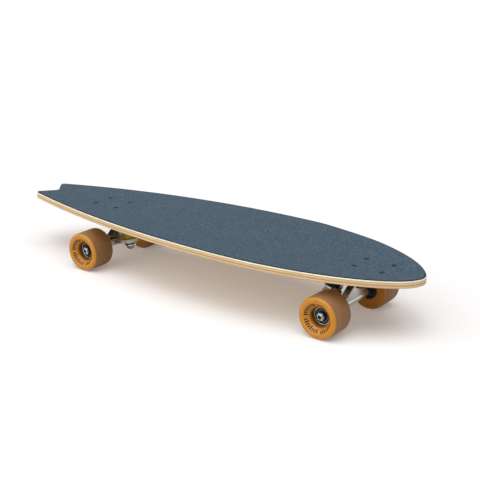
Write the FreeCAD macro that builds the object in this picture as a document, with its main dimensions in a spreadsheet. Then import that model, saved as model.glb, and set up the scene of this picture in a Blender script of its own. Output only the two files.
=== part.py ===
"""Longboard skateboard with a fishtail deck, two steering trucks and four wheels.

Millimetres. X runs along the board to the nose, Y across it, Z up from the floor.
The origin is on the floor, under the middle of the deck.
"""
import FreeCAD, Part
import math
import os
import re
import Sketcher

# Driving sizes: name, value, and where the value comes from
SIZES = (
    ("deck_length", 876, "photo, scaled by the wheels"),
    ("deck_width", 255.6, "photo, scaled by the wheels"),
    ("deck_thickness", 12.7, "nine plies, half an inch"),
    ("deck_edge_round", 1.6, "photo, bright line on the top corner"),
    ("widest_at", 105, "photo, station of the full width"),
    ("nose_taper", 1.17, "photo, 1 gives an ellipse, more a sharper nose"),
    ("tail_half_width", 38.5, "photo, side arc where it ends"),
    ("tail_tip_radius", 7.5, "photo"),
    ("notch_depth", 23.5, "photo"),
    ("notch_radius", 5, "photo"),
    ("flat_half_width", 29, "photo, flat middle of the concave"),
    ("concave_angle", 3.7, "photo"),
    ("concave_blend", 260, "smooth run from flat to wing"),
    ("grip_thickness", 0.9, "grip tape sheet"),
    ("grip_inset", 1.6, "photo, bare edge round the sheet"),
    ("nose_overhang", 138, "photo, front axle to nose"),
    ("tail_overhang", 196, "photo, rear axle to tail"),
    ("truck_height", 58.2, "photo, axle centre to deck underside"),
    ("front_bolt_offset", 43, "photo, bolt group outboard of the axle"),
    ("rear_bolt_offset", 15, "photo, bolt group outboard of the axle"),
    ("bolt_pitch_long", 53.975, "usual bolt pattern, 2 1/8 inch"),
    ("bolt_pitch_wide", 41.275, "usual bolt pattern, 1 5/8 inch"),
    ("bolt_dia", 4.8, "No. 10 bolt"),
    ("bolt_hole_dia", 5.3, "No. 10 clearance"),
    ("bolt_head_dia", 9.4, "No. 10 countersunk head"),
    ("bolt_head_sink", 0.15, "head under the grip surface"),
    ("bolt_head_gap", 0.3, "room round the head"),
    ("bolt_socket_dia", 3.4, "hex key socket"),
    ("bolt_socket_depth", 2.4, "hex key socket"),
    ("bolt_end", 1.6, "thread past the nut"),
    ("bolt_nut_flats", 9.5, "No. 10 lock nut"),
    ("bolt_nut_height", 5.6, "No. 10 lock nut"),
    ("plate_thickness", 6, "usual casting"),
    ("plate_margin", 13, "plate past the bolts"),
    ("plate_rim", 1, "plate past the kingpin boss"),
    ("plate_half_width", 28, "usual casting"),
    ("plate_corner", 9, "usual casting"),
    ("plate_rib_drop", 5, "stiffening rib under the plate"),
    ("plate_rib_half", 4, "stiffening rib under the plate"),
    ("front_ring_reach", 38, "photo, ring centre inboard of the axle"),
    ("rear_ring_reach", 27, "photo, ring centre inboard of the axle"),
    ("ring_lift", 2, "photo, ring centre above the axle"),
    ("kingpin_lean", 10, "photo"),
    ("steer_angle", 33, "ring centre to pivot, from level"),
    ("front_pivot_reach", 70, "ring centre to pivot ball"),
    ("rear_pivot_reach", 60, "ring centre to pivot ball"),
    ("pivot_radius", 6, "usual pivot nose"),
    ("pivot_neck_radius", 9, "foot of the pivot nose"),
    ("pivot_neck_back", 24, "foot of the pivot nose, from the ball"),
    ("pivot_clearance", 0.06, "running fit"),
    ("pivot_mouth", 8.5, "cup mouth short of the ball centre"),
    ("cup_wall", 3, "pivot cup wall"),
    ("cup_floor", 2.5, "pivot cup floor"),
    ("housing_wall", 3.6, "metal round the pivot cup"),
    ("housing_spread", 1.5, "housing growth to the plate"),
    ("ring_radius", 18.4, "photo, rim of the hanger ring"),
    ("ring_low_radius", 15.4, "underside of the hanger ring"),
    ("ring_thickness", 8, "photo, hanger ring"),
    ("ring_hole_radius", 7.2, "room for the ring to tilt"),
    ("seat_depth", 1.5, "boardside bushing seat in the ring"),
    ("road_seat_depth", 2.5, "roadside bushing seat in the ring"),
    ("seat_gap", 0.6, "room round a bushing in its seat"),
    ("saddle_slope", 0.3, "room for the boss as the ring tilts"),
    ("saddle_height", 46, "height of that room"),
    ("boardside_radius", 14.6, "photo, boardside bushing"),
    ("boardside_height", 15, "boardside bushing"),
    ("boardside_waist", 1.2, "barrel bulge of the bushing"),
    ("roadside_radius", 12, "roadside bushing, wide end"),
    ("roadside_tip_radius", 9.6, "roadside bushing, narrow end"),
    ("roadside_height", 7, "roadside bushing"),
    ("bushing_edge", 1.4, "rounded edge of a bushing"),
    ("cup_washer_thickness", 1.5, "cup washer"),
    ("cup_washer_lip", 1.4, "lip past the bushing's end"),
    ("cup_washer_gap", 0.4, "lip to bushing"),
    ("kingpin_dia", 9.5, "three eighths bolt"),
    ("kingpin_fit", 0.04, "bolt in its casting"),
    ("bushing_bore_gap", 0.35, "bolt in a bushing"),
    ("kingpin_head_radius", 7.6, "round head in the plate"),
    ("kingpin_head_height", 4.6, "round head in the plate"),
    ("kingpin_head_at", 47.5, "underside of the head from ring centre"),
    ("kingpin_head_gap", 0.5, "room round the head"),
    ("kingpin_end", 1, "thread past the nut"),
    ("kingpin_nut_flats", 14.3, "three eighths lock nut"),
    ("kingpin_nut_height", 7, "thin three eighths lock nut"),
    ("boss_radius", 12, "kingpin boss at its foot"),
    ("boss_top_radius", 14.3, "kingpin boss at the plate"),
    ("boss_length", 42, "kingpin boss, into the plate"),
    ("hanger_width", 129, "photo, shoulder to shoulder"),
    ("barrel_radius", 9.5, "hanger round the axle"),
    ("barrel_end_radius", 7.2, "hanger shoulder"),
    ("barrel_end_length", 9, "straight run at the shoulder"),
    ("barrel_taper_length", 12, "taper to the shoulder"),
    ("yoke_half_width", 30, "foot of the yoke, along the barrel"),
    ("yoke_rise", 7.5, "foot of the yoke, above the axle"),
    ("gusset_half_width", 46, "photo, foot of the gusset"),
    ("gusset_outboard", 8.6, "gusset foot, outboard face"),
    ("gusset_inboard", 4.5, "gusset foot, inboard face"),
    ("gusset_foot", 1, "gusset foot above the axle"),
    ("gusset_gap", 6, "gusset top short of the pivot housing"),
    ("gusset_top_depth", 13, "gusset top, along the board"),
    ("gusset_top_half", 8.5, "gusset top"),
    ("gusset_round", 2, "bevelled edge of the gusset"),
    ("axle_dia", 7.94, "five sixteenths rod"),
    ("axle_fit", 0.01, "rod in its casting and rings"),
    ("axle_end", 0.8, "thread past the nut"),
    ("axle_chamfer", 0.9, "end of the rod"),
    ("axle_nut_flats", 12.7, "five sixteenths lock nut"),
    ("axle_nut_height", 8.4, "five sixteenths lock nut"),
    ("nut_collar_ratio", 0.43, "collar radius over width across flats"),
    ("nut_collar_height", 2.2, "round collar of a lock nut"),
    ("nut_chamfer", 0.9, "corner of a nut"),
    ("speed_washer_radius", 5.6, "thin washer"),
    ("speed_washer_thickness", 1, "thin washer"),
    ("wheel_dia", 75, "usual longboard wheel, sets the scale"),
    ("wheel_outer_set", 31, "photo, outer face from bearing middle"),
    ("wheel_inner_set", 20.5, "photo, inner face from bearing middle"),
    ("wheel_lip_round", 6, "photo"),
    ("dish_mouth_radius", 21.2, "photo"),
    ("dish_mouth_round", 1.6, "photo"),
    ("inner_mouth_radius", 18, "inner recess"),
    ("core_radius", 15.5, "photo"),
    ("core_overhang", 0.8, "core past the bearing"),
    ("core_rim_radius", 12.4, "foot of the core's bevel"),
    ("bearing_radius", 11, "bearing size 608"),
    ("bearing_width", 7, "bearing size 608"),
    ("bearing_gap", 10, "spacer length"),
    ("spacer_radius", 5.4, "spacer tube"),
    ("core_step_radius", 9.7, "stop between the bearings"),
    ("inner_ring_radius", 6.1, "bearing inner ring"),
    ("outer_ring_bore", 8.9, "bearing outer ring"),
    ("shield_seat_radius", 9.5, "bearing shield seat"),
    ("shield_bore", 6.4, "bearing shield"),
    ("shield_thickness", 0.4, "bearing shield"),
    ("shield_set", 0.15, "shield under the ring face"),
    ("ball_radius", 1.984, "five thirty-seconds ball"),
    ("ball_gap", 0.07, "ball in its race"),
    ("ball_count", 7, "bearing size 608"),
    ("ball_pitch_radius", 7.5, "bearing size 608"),
    ("ball_start", 0.3, "first ball, in steps from the level line"),
    ("cage_inner_radius", 6.8, "crown cage"),
    ("cage_outer_radius", 8.2, "crown cage"),
    ("cage_open_side", 1, "crown cage"),
    ("cage_closed_side", 2.6, "crown cage"),
)
NAMES = {row[0] for row in SIZES}

doc = FreeCAD.newDocument("longboard")
sheet = doc.addObject("Spreadsheet::Sheet", "Sizes")
for number, (alias, size, source) in enumerate(SIZES, start=1):
    sheet.set(f"A{number}", alias)
    sheet.set(f"B{number}", str(size))
    sheet.set(f"C{number}", source)
    sheet.setAlias(f"B{number}", alias)
doc.recompute()

# Heights and stations made from the driving sizes
AXLE_Z = "wheel_dia / 2"
UNDER_Z = "(wheel_dia / 2 + truck_height)"
DECK_Z = f"({UNDER_Z} + deck_thickness)"
GRIP_Z = f"({DECK_Z} + grip_thickness)"
PLATE_Z = f"({UNDER_Z} - plate_thickness)"
RING_Z = f"({AXLE_Z} + ring_lift)"
BLOCK_HALF = "(bearing_gap / 2 + bearing_width)"
SHOULDER_Y = "hanger_width / 2"
HUB_Y = f"({SHOULDER_Y} + speed_washer_thickness + {BLOCK_HALF})"
ROW_Y = "(bearing_gap / 2 + bearing_width / 2)"
NUT_Y = f"({HUB_Y} + {BLOCK_HALF} + speed_washer_thickness)"
AXLE_HALF = f"({NUT_Y} + axle_nut_height + axle_end)"
FRONT_AXLE = "(deck_length / 2 - nose_overhang)"
REAR_AXLE = "(tail_overhang - deck_length / 2)"
FLOOR_UP = "(ring_thickness / 2 - seat_depth)"
FLOOR_LOW = "(road_seat_depth - ring_thickness / 2)"
BOARD_TOP = f"({FLOOR_UP} + boardside_height)"
BOSS_AT = f"({BOARD_TOP} + cup_washer_thickness)"
ROAD_END = f"({FLOOR_LOW} - roadside_height)"
KING_NUT_AT = f"({ROAD_END} - cup_washer_thickness - kingpin_nut_height)"
KING_END = f"({KING_NUT_AT} - kingpin_end)"
CUP_RADIUS = "(pivot_radius + pivot_clearance + cup_wall)"
CUP_DEPTH = "(pivot_mouth + pivot_radius + pivot_clearance + cup_floor)"

ENDS = (("front", FRONT_AXLE, -1), ("rear", REAR_AXLE, 1))
SIDES = (("left", 1), ("right", -1))
UP = FreeCAD.Vector(0, 0, 1)
ACROSS = FreeCAD.Vector(0, 1, 0)
ORIGIN = FreeCAD.Vector(0, 0, 0)
exported = []


def formula(text):
    """Write a size formula with the sheet's name before each alias."""
    def full(match):
        word = match.group(0)
        return f"Sizes.{word}" if word in NAMES else word
    return re.sub(r"[a-z_]+", full, str(text))


def value(text):
    """Work out a size formula."""
    return float(sheet.evalExpression(formula(text)))


def bind(thing, **sizes):
    """Bind properties of a document object to size formulas."""
    for key, text in sizes.items():
        thing.setExpression(key, formula(text))
    return thing


def place(thing, x="0", y="0", z="0", axis=UP, angle="0"):
    """Bind the placement of an object: a turn about one axis, then a move."""
    spot = FreeCAD.Vector(value(x), value(y), value(z))
    thing.Placement = FreeCAD.Placement(spot, FreeCAD.Rotation(axis, value(angle)))
    for key, text in (("x", x), ("y", y), ("z", z)):
        thing.setExpression(f"Placement.Base.{key}", formula(text))
    if abs(value(angle)) > 0:
        thing.setExpression("Placement.Rotation.Angle", formula(angle))
    return thing


def node(thing, label):
    """Name a finished sub-part and put it on the list of files."""
    thing.Label = label
    exported.append(thing)
    return thing


def new_body(name):
    """Start a part design body."""
    return doc.addObject("PartDesign::Body", name)


def new_sketch(body, plane, lift="0"):
    """Start a sketch on one of the body's own planes, lifted along its normal."""
    sketch = body.newObject("Sketcher::SketchObject", f"{body.Name}_sketch")
    support = [item for item in body.Origin.OriginFeatures if item.Role == plane]
    sketch.AttachmentSupport = [(support[0], "")]
    sketch.MapMode = "FlatFace"
    sketch.setExpression("AttachmentOffset.Base.z", formula(lift))
    return sketch


def fix_point(sketch, line, end, x, y):
    """Hold one end of a line, or a circle's centre, at two size formulas."""
    for kind, text in (("DistanceX", x), ("DistanceY", y)):
        rule = Sketcher.Constraint(kind, -1, 1, line, end, value(text))
        spot = sketch.addConstraint(rule)
        sketch.setExpression(f"Constraints[{spot}]", formula(text))


def polygon(sketch, points):
    """Draw a closed outline of straight lines through size-bound points."""
    first = sketch.GeometryCount
    spots = [FreeCAD.Vector(value(x), value(y), 0) for x, y in points]
    count = len(spots)
    for place_in in range(count):
        after = (place_in + 1) % count
        sketch.addGeometry(Part.LineSegment(spots[place_in], spots[after]), False)
    for place_in in range(count):
        after = (place_in + 1) % count
        sketch.addConstraint(
            Sketcher.Constraint("Coincident", first + place_in, 2, first + after, 1)
        )
    for place_in, (x, y) in enumerate(points):
        fix_point(sketch, first + place_in, 1, x, y)


def bevelled(sketch, back, front, half, cut, middle="0"):
    """Draw a size-bound rectangle with its four corners cut off."""
    low = f"{middle} - ({half})"
    high = f"{middle} + {half}"
    polygon(
        sketch,
        (
            (back, f"{low} + {cut}"),
            (f"{back} + {cut}", low),
            (f"{front} - {cut}", low),
            (front, f"{low} + {cut}"),
            (front, f"{high} - {cut}"),
            (f"{front} - {cut}", high),
            (f"{back} + {cut}", high),
            (back, f"{high} - {cut}"),
        ),
    )


def circle(sketch, x, y, radius):
    """Draw a size-bound circle."""
    centre = FreeCAD.Vector(value(x), value(y), 0)
    line = sketch.addGeometry(Part.Circle(centre, UP, value(radius)), False)
    fix_point(sketch, line, 3, x, y)
    spot = sketch.addConstraint(Sketcher.Constraint("Radius", line, value(radius)))
    sketch.setExpression(f"Constraints[{spot}]", formula(radius))


def turned(name, plane, *outlines):
    """Turn closed outlines of (radius, height) about the sketch's upright axis."""
    body = new_body(name)
    sketch = new_sketch(body, plane)
    for outline in outlines:
        polygon(sketch, outline)
    spin = body.newObject("PartDesign::Revolution", f"{name}_turn")
    spin.Profile = sketch
    spin.ReferenceAxis = (sketch, ["V_Axis"])
    spin.Angle = 360
    doc.recompute()
    return body


def groove_rings(body, plane, rings):
    """Cut round grooves, each a circle turned about the upright axis."""
    sketch = new_sketch(body, plane)
    for x, y, radius in rings:
        circle(sketch, x, y, radius)
    cut = body.newObject("PartDesign::Groove", f"{body.Name}_groove")
    cut.Profile = sketch
    cut.ReferenceAxis = (sketch, ["V_Axis"])
    cut.Angle = 360
    doc.recompute()
    return body


def rim(shape, axis, radius, height):
    """Names of the full circles of a radius at a height along an axis."""
    found = []
    for number, edge in enumerate(shape.Edges, start=1):
        if not isinstance(edge.Curve, Part.Circle):
            continue
        same_size = abs(edge.Curve.Radius - value(radius)) < 1e-3
        same_height = abs(edge.Curve.Center.dot(axis) - value(height)) < 1e-3
        if same_size and same_height:
            found.append(f"Edge{number}")
    return found


def soften(body, edges, radius, kind="PartDesign::Fillet"):
    """Round or bevel edges of a body's last feature."""
    last = body.Tip
    edge = body.newObject(kind, f"{body.Name}_edge")
    edge.Base = (last, edges)
    bind(edge, **{"Radius" if kind.endswith("Fillet") else "Size": radius})
    doc.recompute()
    return body


def rod(name, radius, length):
    """A plain cylinder standing on the origin."""
    return bind(doc.addObject("Part::Cylinder", name), Radius=radius, Height=length)


def taper(name, low, high, length):
    """A cone standing on the origin."""
    cone = doc.addObject("Part::Cone", name)
    return bind(cone, Radius1=low, Radius2=high, Height=length)


def block(name, x_size, y_size, z_size):
    """A box with a corner on the origin."""
    return bind(doc.addObject("Part::Box", name), Length=x_size, Width=y_size, Height=z_size)


def joined(name, *pieces):
    """One solid from several."""
    fuse = doc.addObject("Part::MultiFuse", name)
    fuse.Shapes = list(pieces)
    fuse.Refine = True
    doc.recompute()
    return fuse


def without(name, base, *tools):
    """A solid less several others."""
    for count, tool in enumerate(tools):
        cut = doc.addObject("Part::Cut", f"{name}_{count}")
        cut.Base = base
        cut.Tool = tool
        base = cut
    doc.recompute()
    return base


def group(name, *copies):
    """Several separate solids in one node: (master, x, y, z) for each."""
    links = []
    for master, x, y, z in copies:
        link = doc.addObject("App::Link", f"{name}_copy")
        link.LinkedObject = master
        links.append(place(link, x, y, z))
    cluster = doc.addObject("Part::Compound", name)
    cluster.Links = links
    doc.recompute()
    return cluster


def turned_nut(name, plane, flats, height, bore):
    """A lock nut: hexagon with a round collar on top, standing on the origin."""
    body = new_body(name)
    sketch = new_sketch(body, plane)
    corner = value(flats) / math.sqrt(3)
    corners = []
    for step in range(6):
        turn = math.radians(60 * step)
        corners.append(FreeCAD.Vector(corner * math.cos(turn), corner * math.sin(turn), 0))
    for step in range(6):
        sketch.addGeometry(Part.LineSegment(corners[step], corners[(step + 1) % 6]), False)
    circle(sketch, "0", "0", bore)
    prism = body.newObject("PartDesign::Pad", f"{name}_prism")
    prism.Profile = sketch
    bind(prism, Length=f"{height} - nut_collar_height")
    doc.recompute()
    top = new_sketch(body, plane, f"{height} - nut_collar_height")
    circle(top, "0", "0", f"{flats} * nut_collar_ratio")
    circle(top, "0", "0", bore)
    collar = body.newObject("PartDesign::Pad", f"{name}_collar")
    collar.Profile = top
    bind(collar, Length="nut_collar_height")
    doc.recompute()
    normal = UP if plane == "XY_Plane" else ACROSS * -1
    soften(body, rim(body.Shape, normal, f"{flats} * nut_collar_ratio", height), "nut_chamfer")
    return body


def nose_curve(inset):
    """The nose from full width to full width, one smooth curve moved in by a size."""
    middle = value("widest_at")
    long = value("deck_length") / 2 - middle
    wide = value("deck_width") / 2
    power = value("nose_taper")
    shift = value(inset)
    spots = []
    for step in range(-6, 7):
        turn = math.radians(15 * step)
        side = math.copysign(1, step)
        sine = abs(math.sin(turn))
        spot = FreeCAD.Vector(middle + long * math.cos(turn), side * wide * sine ** power, 0)
        steep = wide * power * sine ** (power - 1) * math.cos(turn) if step else 1
        normal = FreeCAD.Vector(steep, long * math.sin(turn) if step else 0, 0)
        normal.normalize()
        spots.append(spot - normal * shift)
    curve = Part.BSplineCurve()
    along = FreeCAD.Vector(1, 0, 0)
    curve.interpolate(Points=spots, InitialTangent=along, FinalTangent=along * -1)
    return curve


def outline_curves(inset):
    """The deck's plan outline, moved in by a size: nose, side arcs and notch."""
    half_long = value("deck_length") / 2
    half_wide = value("deck_width") / 2
    middle = value("widest_at")
    drop = half_wide - value("tail_half_width")
    big = ((half_long + middle) ** 2 + drop ** 2) / (2 * drop)
    tip = value("tail_tip_radius")
    notch = value("notch_radius")
    shift = value(inset)
    low = half_wide - big
    tip_x = tip - half_long
    tip_y = low + math.sqrt((big - tip) ** 2 - (tip_x - middle) ** 2)
    notch_x = value("notch_depth") - half_long - notch
    gap = math.hypot(tip_x - notch_x, tip_y)
    toward = math.atan2(tip_y, tip_x - notch_x)
    square = toward - math.acos((tip + notch) / gap)
    side_turn = math.atan2(tip_y - low, tip_x - middle)
    curves = [nose_curve(inset)]
    for side in (1, -1):
        side_circle = Part.Circle(FreeCAD.Vector(middle, side * low, 0), UP, big - shift)
        tip_circle = Part.Circle(FreeCAD.Vector(tip_x, side * tip_y, 0), UP, tip - shift)
        near = math.pi + square
        spot = FreeCAD.Vector(tip_x, side * tip_y, 0)
        reach = FreeCAD.Vector(math.cos(near), side * math.sin(near), 0)
        start = spot + reach * (tip - shift)
        notch_spot = FreeCAD.Vector(notch_x, 0, 0)
        finish = notch_spot - reach * (notch + shift)
        if side > 0:
            curves.append(Part.ArcOfCircle(side_circle, math.pi / 2, side_turn))
            curves.append(Part.ArcOfCircle(tip_circle, side_turn, near))
        else:
            curves.append(Part.ArcOfCircle(side_circle, -side_turn, -math.pi / 2))
            curves.append(Part.ArcOfCircle(tip_circle, -near, -side_turn))
        curves.append(Part.LineSegment(start, finish))
    hollow = Part.Circle(FreeCAD.Vector(notch_x, 0, 0), UP, notch + shift)
    curves.append(Part.ArcOfCircle(hollow, -square, square))
    return curves


def section_curves(level, far):
    """The region above or below a concave surface: flat middle, blends and wings."""
    slope = math.radians(value("concave_angle"))
    radius = value("concave_blend")
    height = value(level)
    flat = value("flat_half_width") - radius * math.tan(slope / 2)
    rise_y = flat + radius * math.sin(slope)
    rise_z = height + radius * (1 - math.cos(slope))
    edge_y = value("deck_width")
    edge_z = rise_z + (edge_y - rise_y) * math.tan(slope)
    top = value(far)
    down = -math.pi / 2
    right = Part.Circle(FreeCAD.Vector(flat, height + radius, 0), UP, radius)
    left = Part.Circle(FreeCAD.Vector(-flat, height + radius, 0), UP, radius)
    corner = FreeCAD.Vector(edge_y, edge_z, 0)
    far_corner = FreeCAD.Vector(edge_y, top, 0)
    mirror = FreeCAD.Vector(-edge_y, edge_z, 0)
    far_mirror = FreeCAD.Vector(-edge_y, top, 0)
    return [
        Part.LineSegment(FreeCAD.Vector(-flat, height, 0), FreeCAD.Vector(flat, height, 0)),
        Part.ArcOfCircle(right, down, down + slope),
        Part.LineSegment(FreeCAD.Vector(rise_y, rise_z, 0), corner),
        Part.LineSegment(corner, far_corner),
        Part.LineSegment(far_corner, far_mirror),
        Part.LineSegment(far_mirror, mirror),
        Part.LineSegment(mirror, FreeCAD.Vector(-rise_y, rise_z, 0)),
        Part.ArcOfCircle(left, down - slope, down),
    ]


def concave_sheet(name, inset, low, high):
    """A sheet with the deck's outline between two parallel concave surfaces."""
    body = new_body(name)
    plan = new_sketch(body, "XY_Plane")
    for curve in outline_curves(inset):
        plan.addGeometry(curve, False)
    slab = body.newObject("PartDesign::Pad", f"{name}_slab")
    slab.Profile = plan
    bind(slab, Length=f"{high} + deck_width / 2")
    doc.recompute()
    for level, far in ((high, f"{high} + deck_width"), (low, "-deck_width")):
        region = new_sketch(body, "YZ_Plane")
        for curve in section_curves(level, far):
            region.addGeometry(curve, False)
        cut = body.newObject("PartDesign::Pocket", f"{name}_concave")
        cut.Profile = region
        cut.Type = "ThroughAll"
        cut.SideType = "Symmetric"
        doc.recompute()
    return body


def bolt_spots():
    """The four bolt centres of each truck, as size formulas."""
    spots = []
    for end, axle, inboard in ENDS:
        for along in (1, -1):
            for side in (1, -1):
                x = f"{axle} - {inboard} * {end}_bolt_offset + {along} * bolt_pitch_long / 2"
                spots.append((end, x, f"{side} * bolt_pitch_wide / 2"))
    return spots


def drill(body, lift, diameter, head=None):
    """Drill the eight bolt holes down through a body, countersunk if asked."""
    sketch = new_sketch(body, "XY_Plane", lift)
    for end, x, y in bolt_spots():
        circle(sketch, x, y, f"({diameter}) / 2")
    hole = body.newObject("PartDesign::Hole", f"{body.Name}_holes")
    hole.Profile = sketch
    hole.DepthType = "ThroughAll"
    bind(hole, Diameter=diameter)
    if head:
        hole.HoleCutType = "Countersink"
        bind(hole, HoleCutDiameter=head)
        hole.HoleCutCountersinkAngle = 90
    doc.recompute()
    return body


def edge_names_on_sides(shape):
    """Names of the edges where the upright sides meet the top and underside."""
    upright = []
    for face in shape.Faces:
        low_u, high_u, low_v, high_v = face.ParameterRange
        normal = face.normalAt((low_u + high_u) / 2, (low_v + high_v) / 2)
        if abs(normal.z) < 1e-6:
            upright.extend(face.Edges)
    found = []
    for number, edge in enumerate(shape.Edges, start=1):
        if not any(edge.isSame(other) for other in upright):
            continue
        ends = edge.Vertexes
        level = abs(edge.tangentAt(edge.FirstParameter).z)
        if level < math.cos(math.radians(45)) and len(ends) == 2:
            found.append(f"Edge{number}")
    return found


# Board: the deck with its rounded edge, and the grip sheet on it
deck = concave_sheet("deck", "0", UNDER_Z, DECK_Z)
soften(deck, edge_names_on_sides(deck.Shape), "deck_edge_round")
drill(deck, DECK_Z, "bolt_hole_dia", "bolt_head_dia + bolt_head_gap")
node(deck, "deck")
grip = concave_sheet("grip_tape", "grip_inset", DECK_Z, GRIP_Z)
drill(grip, GRIP_Z, "bolt_head_dia + bolt_head_gap")
node(grip, "grip_tape")

# Mounting hardware: one bolt and one nut, copied to each corner of each plate
HEAD_CONE = "(bolt_head_dia / 2 - bolt_dia / 2)"
HEAD_TOP = f"({GRIP_Z} - bolt_head_sink)"
HEAD_LOW = f"({DECK_Z} - bolt_head_sink)"
BOLT_LOW = f"({PLATE_Z} - bolt_nut_height - bolt_end)"
bolt = turned(
    "bolt_master",
    "XZ_Plane",
    (
        ("0", BOLT_LOW),
        ("bolt_dia / 2", BOLT_LOW),
        ("bolt_dia / 2", f"{HEAD_LOW} - {HEAD_CONE}"),
        ("bolt_head_dia / 2", HEAD_LOW),
        ("bolt_head_dia / 2", HEAD_TOP),
        ("0", HEAD_TOP),
    ),
)
socket = new_sketch(bolt, "XY_Plane", HEAD_TOP)
circle(socket, "0", "0", "bolt_socket_dia / 2")
key_hole = bolt.newObject("PartDesign::Pocket", "bolt_key_hole")
key_hole.Profile = socket
bind(key_hole, Length="bolt_socket_depth")
doc.recompute()
bolt_nut = turned_nut(
    "bolt_nut_master", "XY_Plane", "bolt_nut_flats", "bolt_nut_height", "bolt_dia / 2"
)
flip_nut = doc.addObject("Part::Mirroring", "bolt_nut_down")
flip_nut.Source = bolt_nut
flip_nut.Base = ORIGIN
flip_nut.Normal = UP
doc.recompute()
for end, axle, inboard in ENDS:
    spots = [spot for spot in bolt_spots() if spot[0] == end]
    bolts = [(bolt, x, y, "0") for _, x, y in spots]
    nuts = [(flip_nut, x, y, PLATE_Z) for _, x, y in spots]
    node(group(f"{end}_mounting_bolts", *bolts), f"{end}_mounting_bolts")
    node(group(f"{end}_mounting_nuts", *nuts), f"{end}_mounting_nuts")

# Directions in a truck's own frame: X inboard, axle over the origin
LEAN = "-kingpin_lean"
STEER = "steer_angle - 90"


def on_kingpin(end, thing, height):
    """Put a piece on the kingpin line, a height up from the ring centre."""
    x = f"{end}_ring_reach - ({height}) * sin(kingpin_lean)"
    z = f"{RING_Z} + ({height}) * cos(kingpin_lean)"
    return place(thing, x, "0", z, ACROSS, LEAN)


def cup_mouth(end):
    """Reach of the pivot cup's mouth from the ring centre."""
    return f"({end}_pivot_reach - pivot_mouth)"


def on_steering(end, thing, reach):
    """Put a piece on the steering line, a reach up from the ring centre."""
    x = f"{end}_ring_reach - ({reach}) * cos(steer_angle)"
    z = f"{RING_Z} + ({reach}) * sin(steer_angle)"
    return place(thing, x, "0", z, ACROSS, STEER)


def make_hanger(end):
    """The hanger casting: axle barrel, gusset, kingpin ring and pivot nose."""
    run = f"({SHOULDER_Y} - barrel_end_length)"
    full = f"({run} - barrel_taper_length)"
    barrel = turned(
        f"{end}_barrel",
        "XY_Plane",
        (
            ("axle_dia / 2 + axle_fit", f"-{SHOULDER_Y}"),
            ("barrel_end_radius", f"-{SHOULDER_Y}"),
            ("barrel_end_radius", f"-{run}"),
            ("barrel_radius", f"-{full}"),
            ("barrel_radius", full),
            ("barrel_end_radius", run),
            ("barrel_end_radius", SHOULDER_Y),
            ("axle_dia / 2 + axle_fit", SHOULDER_Y),
        ),
    )
    place(barrel, z=AXLE_Z)
    wing = new_body(f"{end}_gusset")
    foot = new_sketch(wing, "XY_Plane", f"{AXLE_Z} + gusset_foot")
    bevelled(foot, "-gusset_outboard", "gusset_inboard", "gusset_half_width", "gusset_round")
    climb = f"({cup_mouth(end)} * sin(steer_angle) - gusset_gap)"
    crown = new_sketch(wing, "XY_Plane", f"{RING_Z} + {climb}")
    crown_x = f"{end}_ring_reach - {climb} / tan(steer_angle)"
    crown_half = "gusset_top_depth / 2"
    bevelled(
        crown, f"{crown_x} - {crown_half}", f"{crown_x} + {crown_half}", "gusset_top_half", "gusset_round"
    )
    loft = wing.newObject("PartDesign::AdditiveLoft", f"{end}_gusset_loft")
    loft.Profile = foot
    loft.Sections = [crown]
    loft.Ruled = True
    doc.recompute()
    ring = taper(f"{end}_ring", "ring_low_radius", "ring_radius", "ring_thickness")
    on_kingpin(end, ring, "-ring_thickness / 2")
    yoke = new_body(f"{end}_yoke")
    root = new_sketch(yoke, "YZ_Plane")
    bevelled(root, "-yoke_half_width", "yoke_half_width", "yoke_rise", "gusset_round")
    tongue = new_sketch(yoke, "YZ_Plane", f"{end}_ring_reach")
    tongue_half = "ring_low_radius"
    tongue_rise = "(ring_thickness / 2 - gusset_round / 2)"
    bevelled(tongue, f"-{tongue_half}", tongue_half, tongue_rise, "gusset_round", "ring_lift")
    arms = yoke.newObject("PartDesign::AdditiveLoft", f"{end}_yoke_loft")
    arms.Profile = root
    arms.Sections = [tongue]
    arms.Ruled = True
    doc.recompute()
    place(yoke, z=AXLE_Z)
    neck_at = f"({end}_pivot_reach - pivot_neck_back)"
    nose = taper(f"{end}_nose", "pivot_neck_radius", "pivot_radius", "pivot_neck_back - pivot_mouth")
    on_steering(end, nose, neck_at)
    stem = rod(f"{end}_stem", "pivot_radius", "pivot_mouth")
    on_steering(end, stem, cup_mouth(end))
    ball = bind(doc.addObject("Part::Sphere", f"{end}_ball"), Radius="pivot_radius")
    on_steering(end, ball, f"{end}_pivot_reach")
    whole = joined(f"{end}_hanger_whole", barrel, wing, ring, yoke, nose, stem, ball)
    saddle = taper(
        f"{end}_saddle",
        "boardside_radius + seat_gap",
        "boardside_radius + seat_gap + saddle_slope * saddle_height",
        "saddle_height",
    )
    on_kingpin(end, saddle, FLOOR_UP)
    under = taper(
        f"{end}_under",
        "roadside_radius + seat_gap + saddle_slope * saddle_height",
        "roadside_radius + seat_gap",
        "saddle_height",
    )
    on_kingpin(end, under, f"{FLOOR_LOW} - saddle_height")
    bore = rod(f"{end}_ring_bore", "ring_hole_radius", "ring_thickness")
    on_kingpin(end, bore, "-ring_thickness / 2")
    drilled = rod(f"{end}_axle_bore", "axle_dia / 2 + axle_fit", "hanger_width")
    place(drilled, "0", SHOULDER_Y, AXLE_Z, FreeCAD.Vector(1, 0, 0), "90")
    return without(f"{end}_hanger_cut", whole, saddle, under, bore, drilled)


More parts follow.
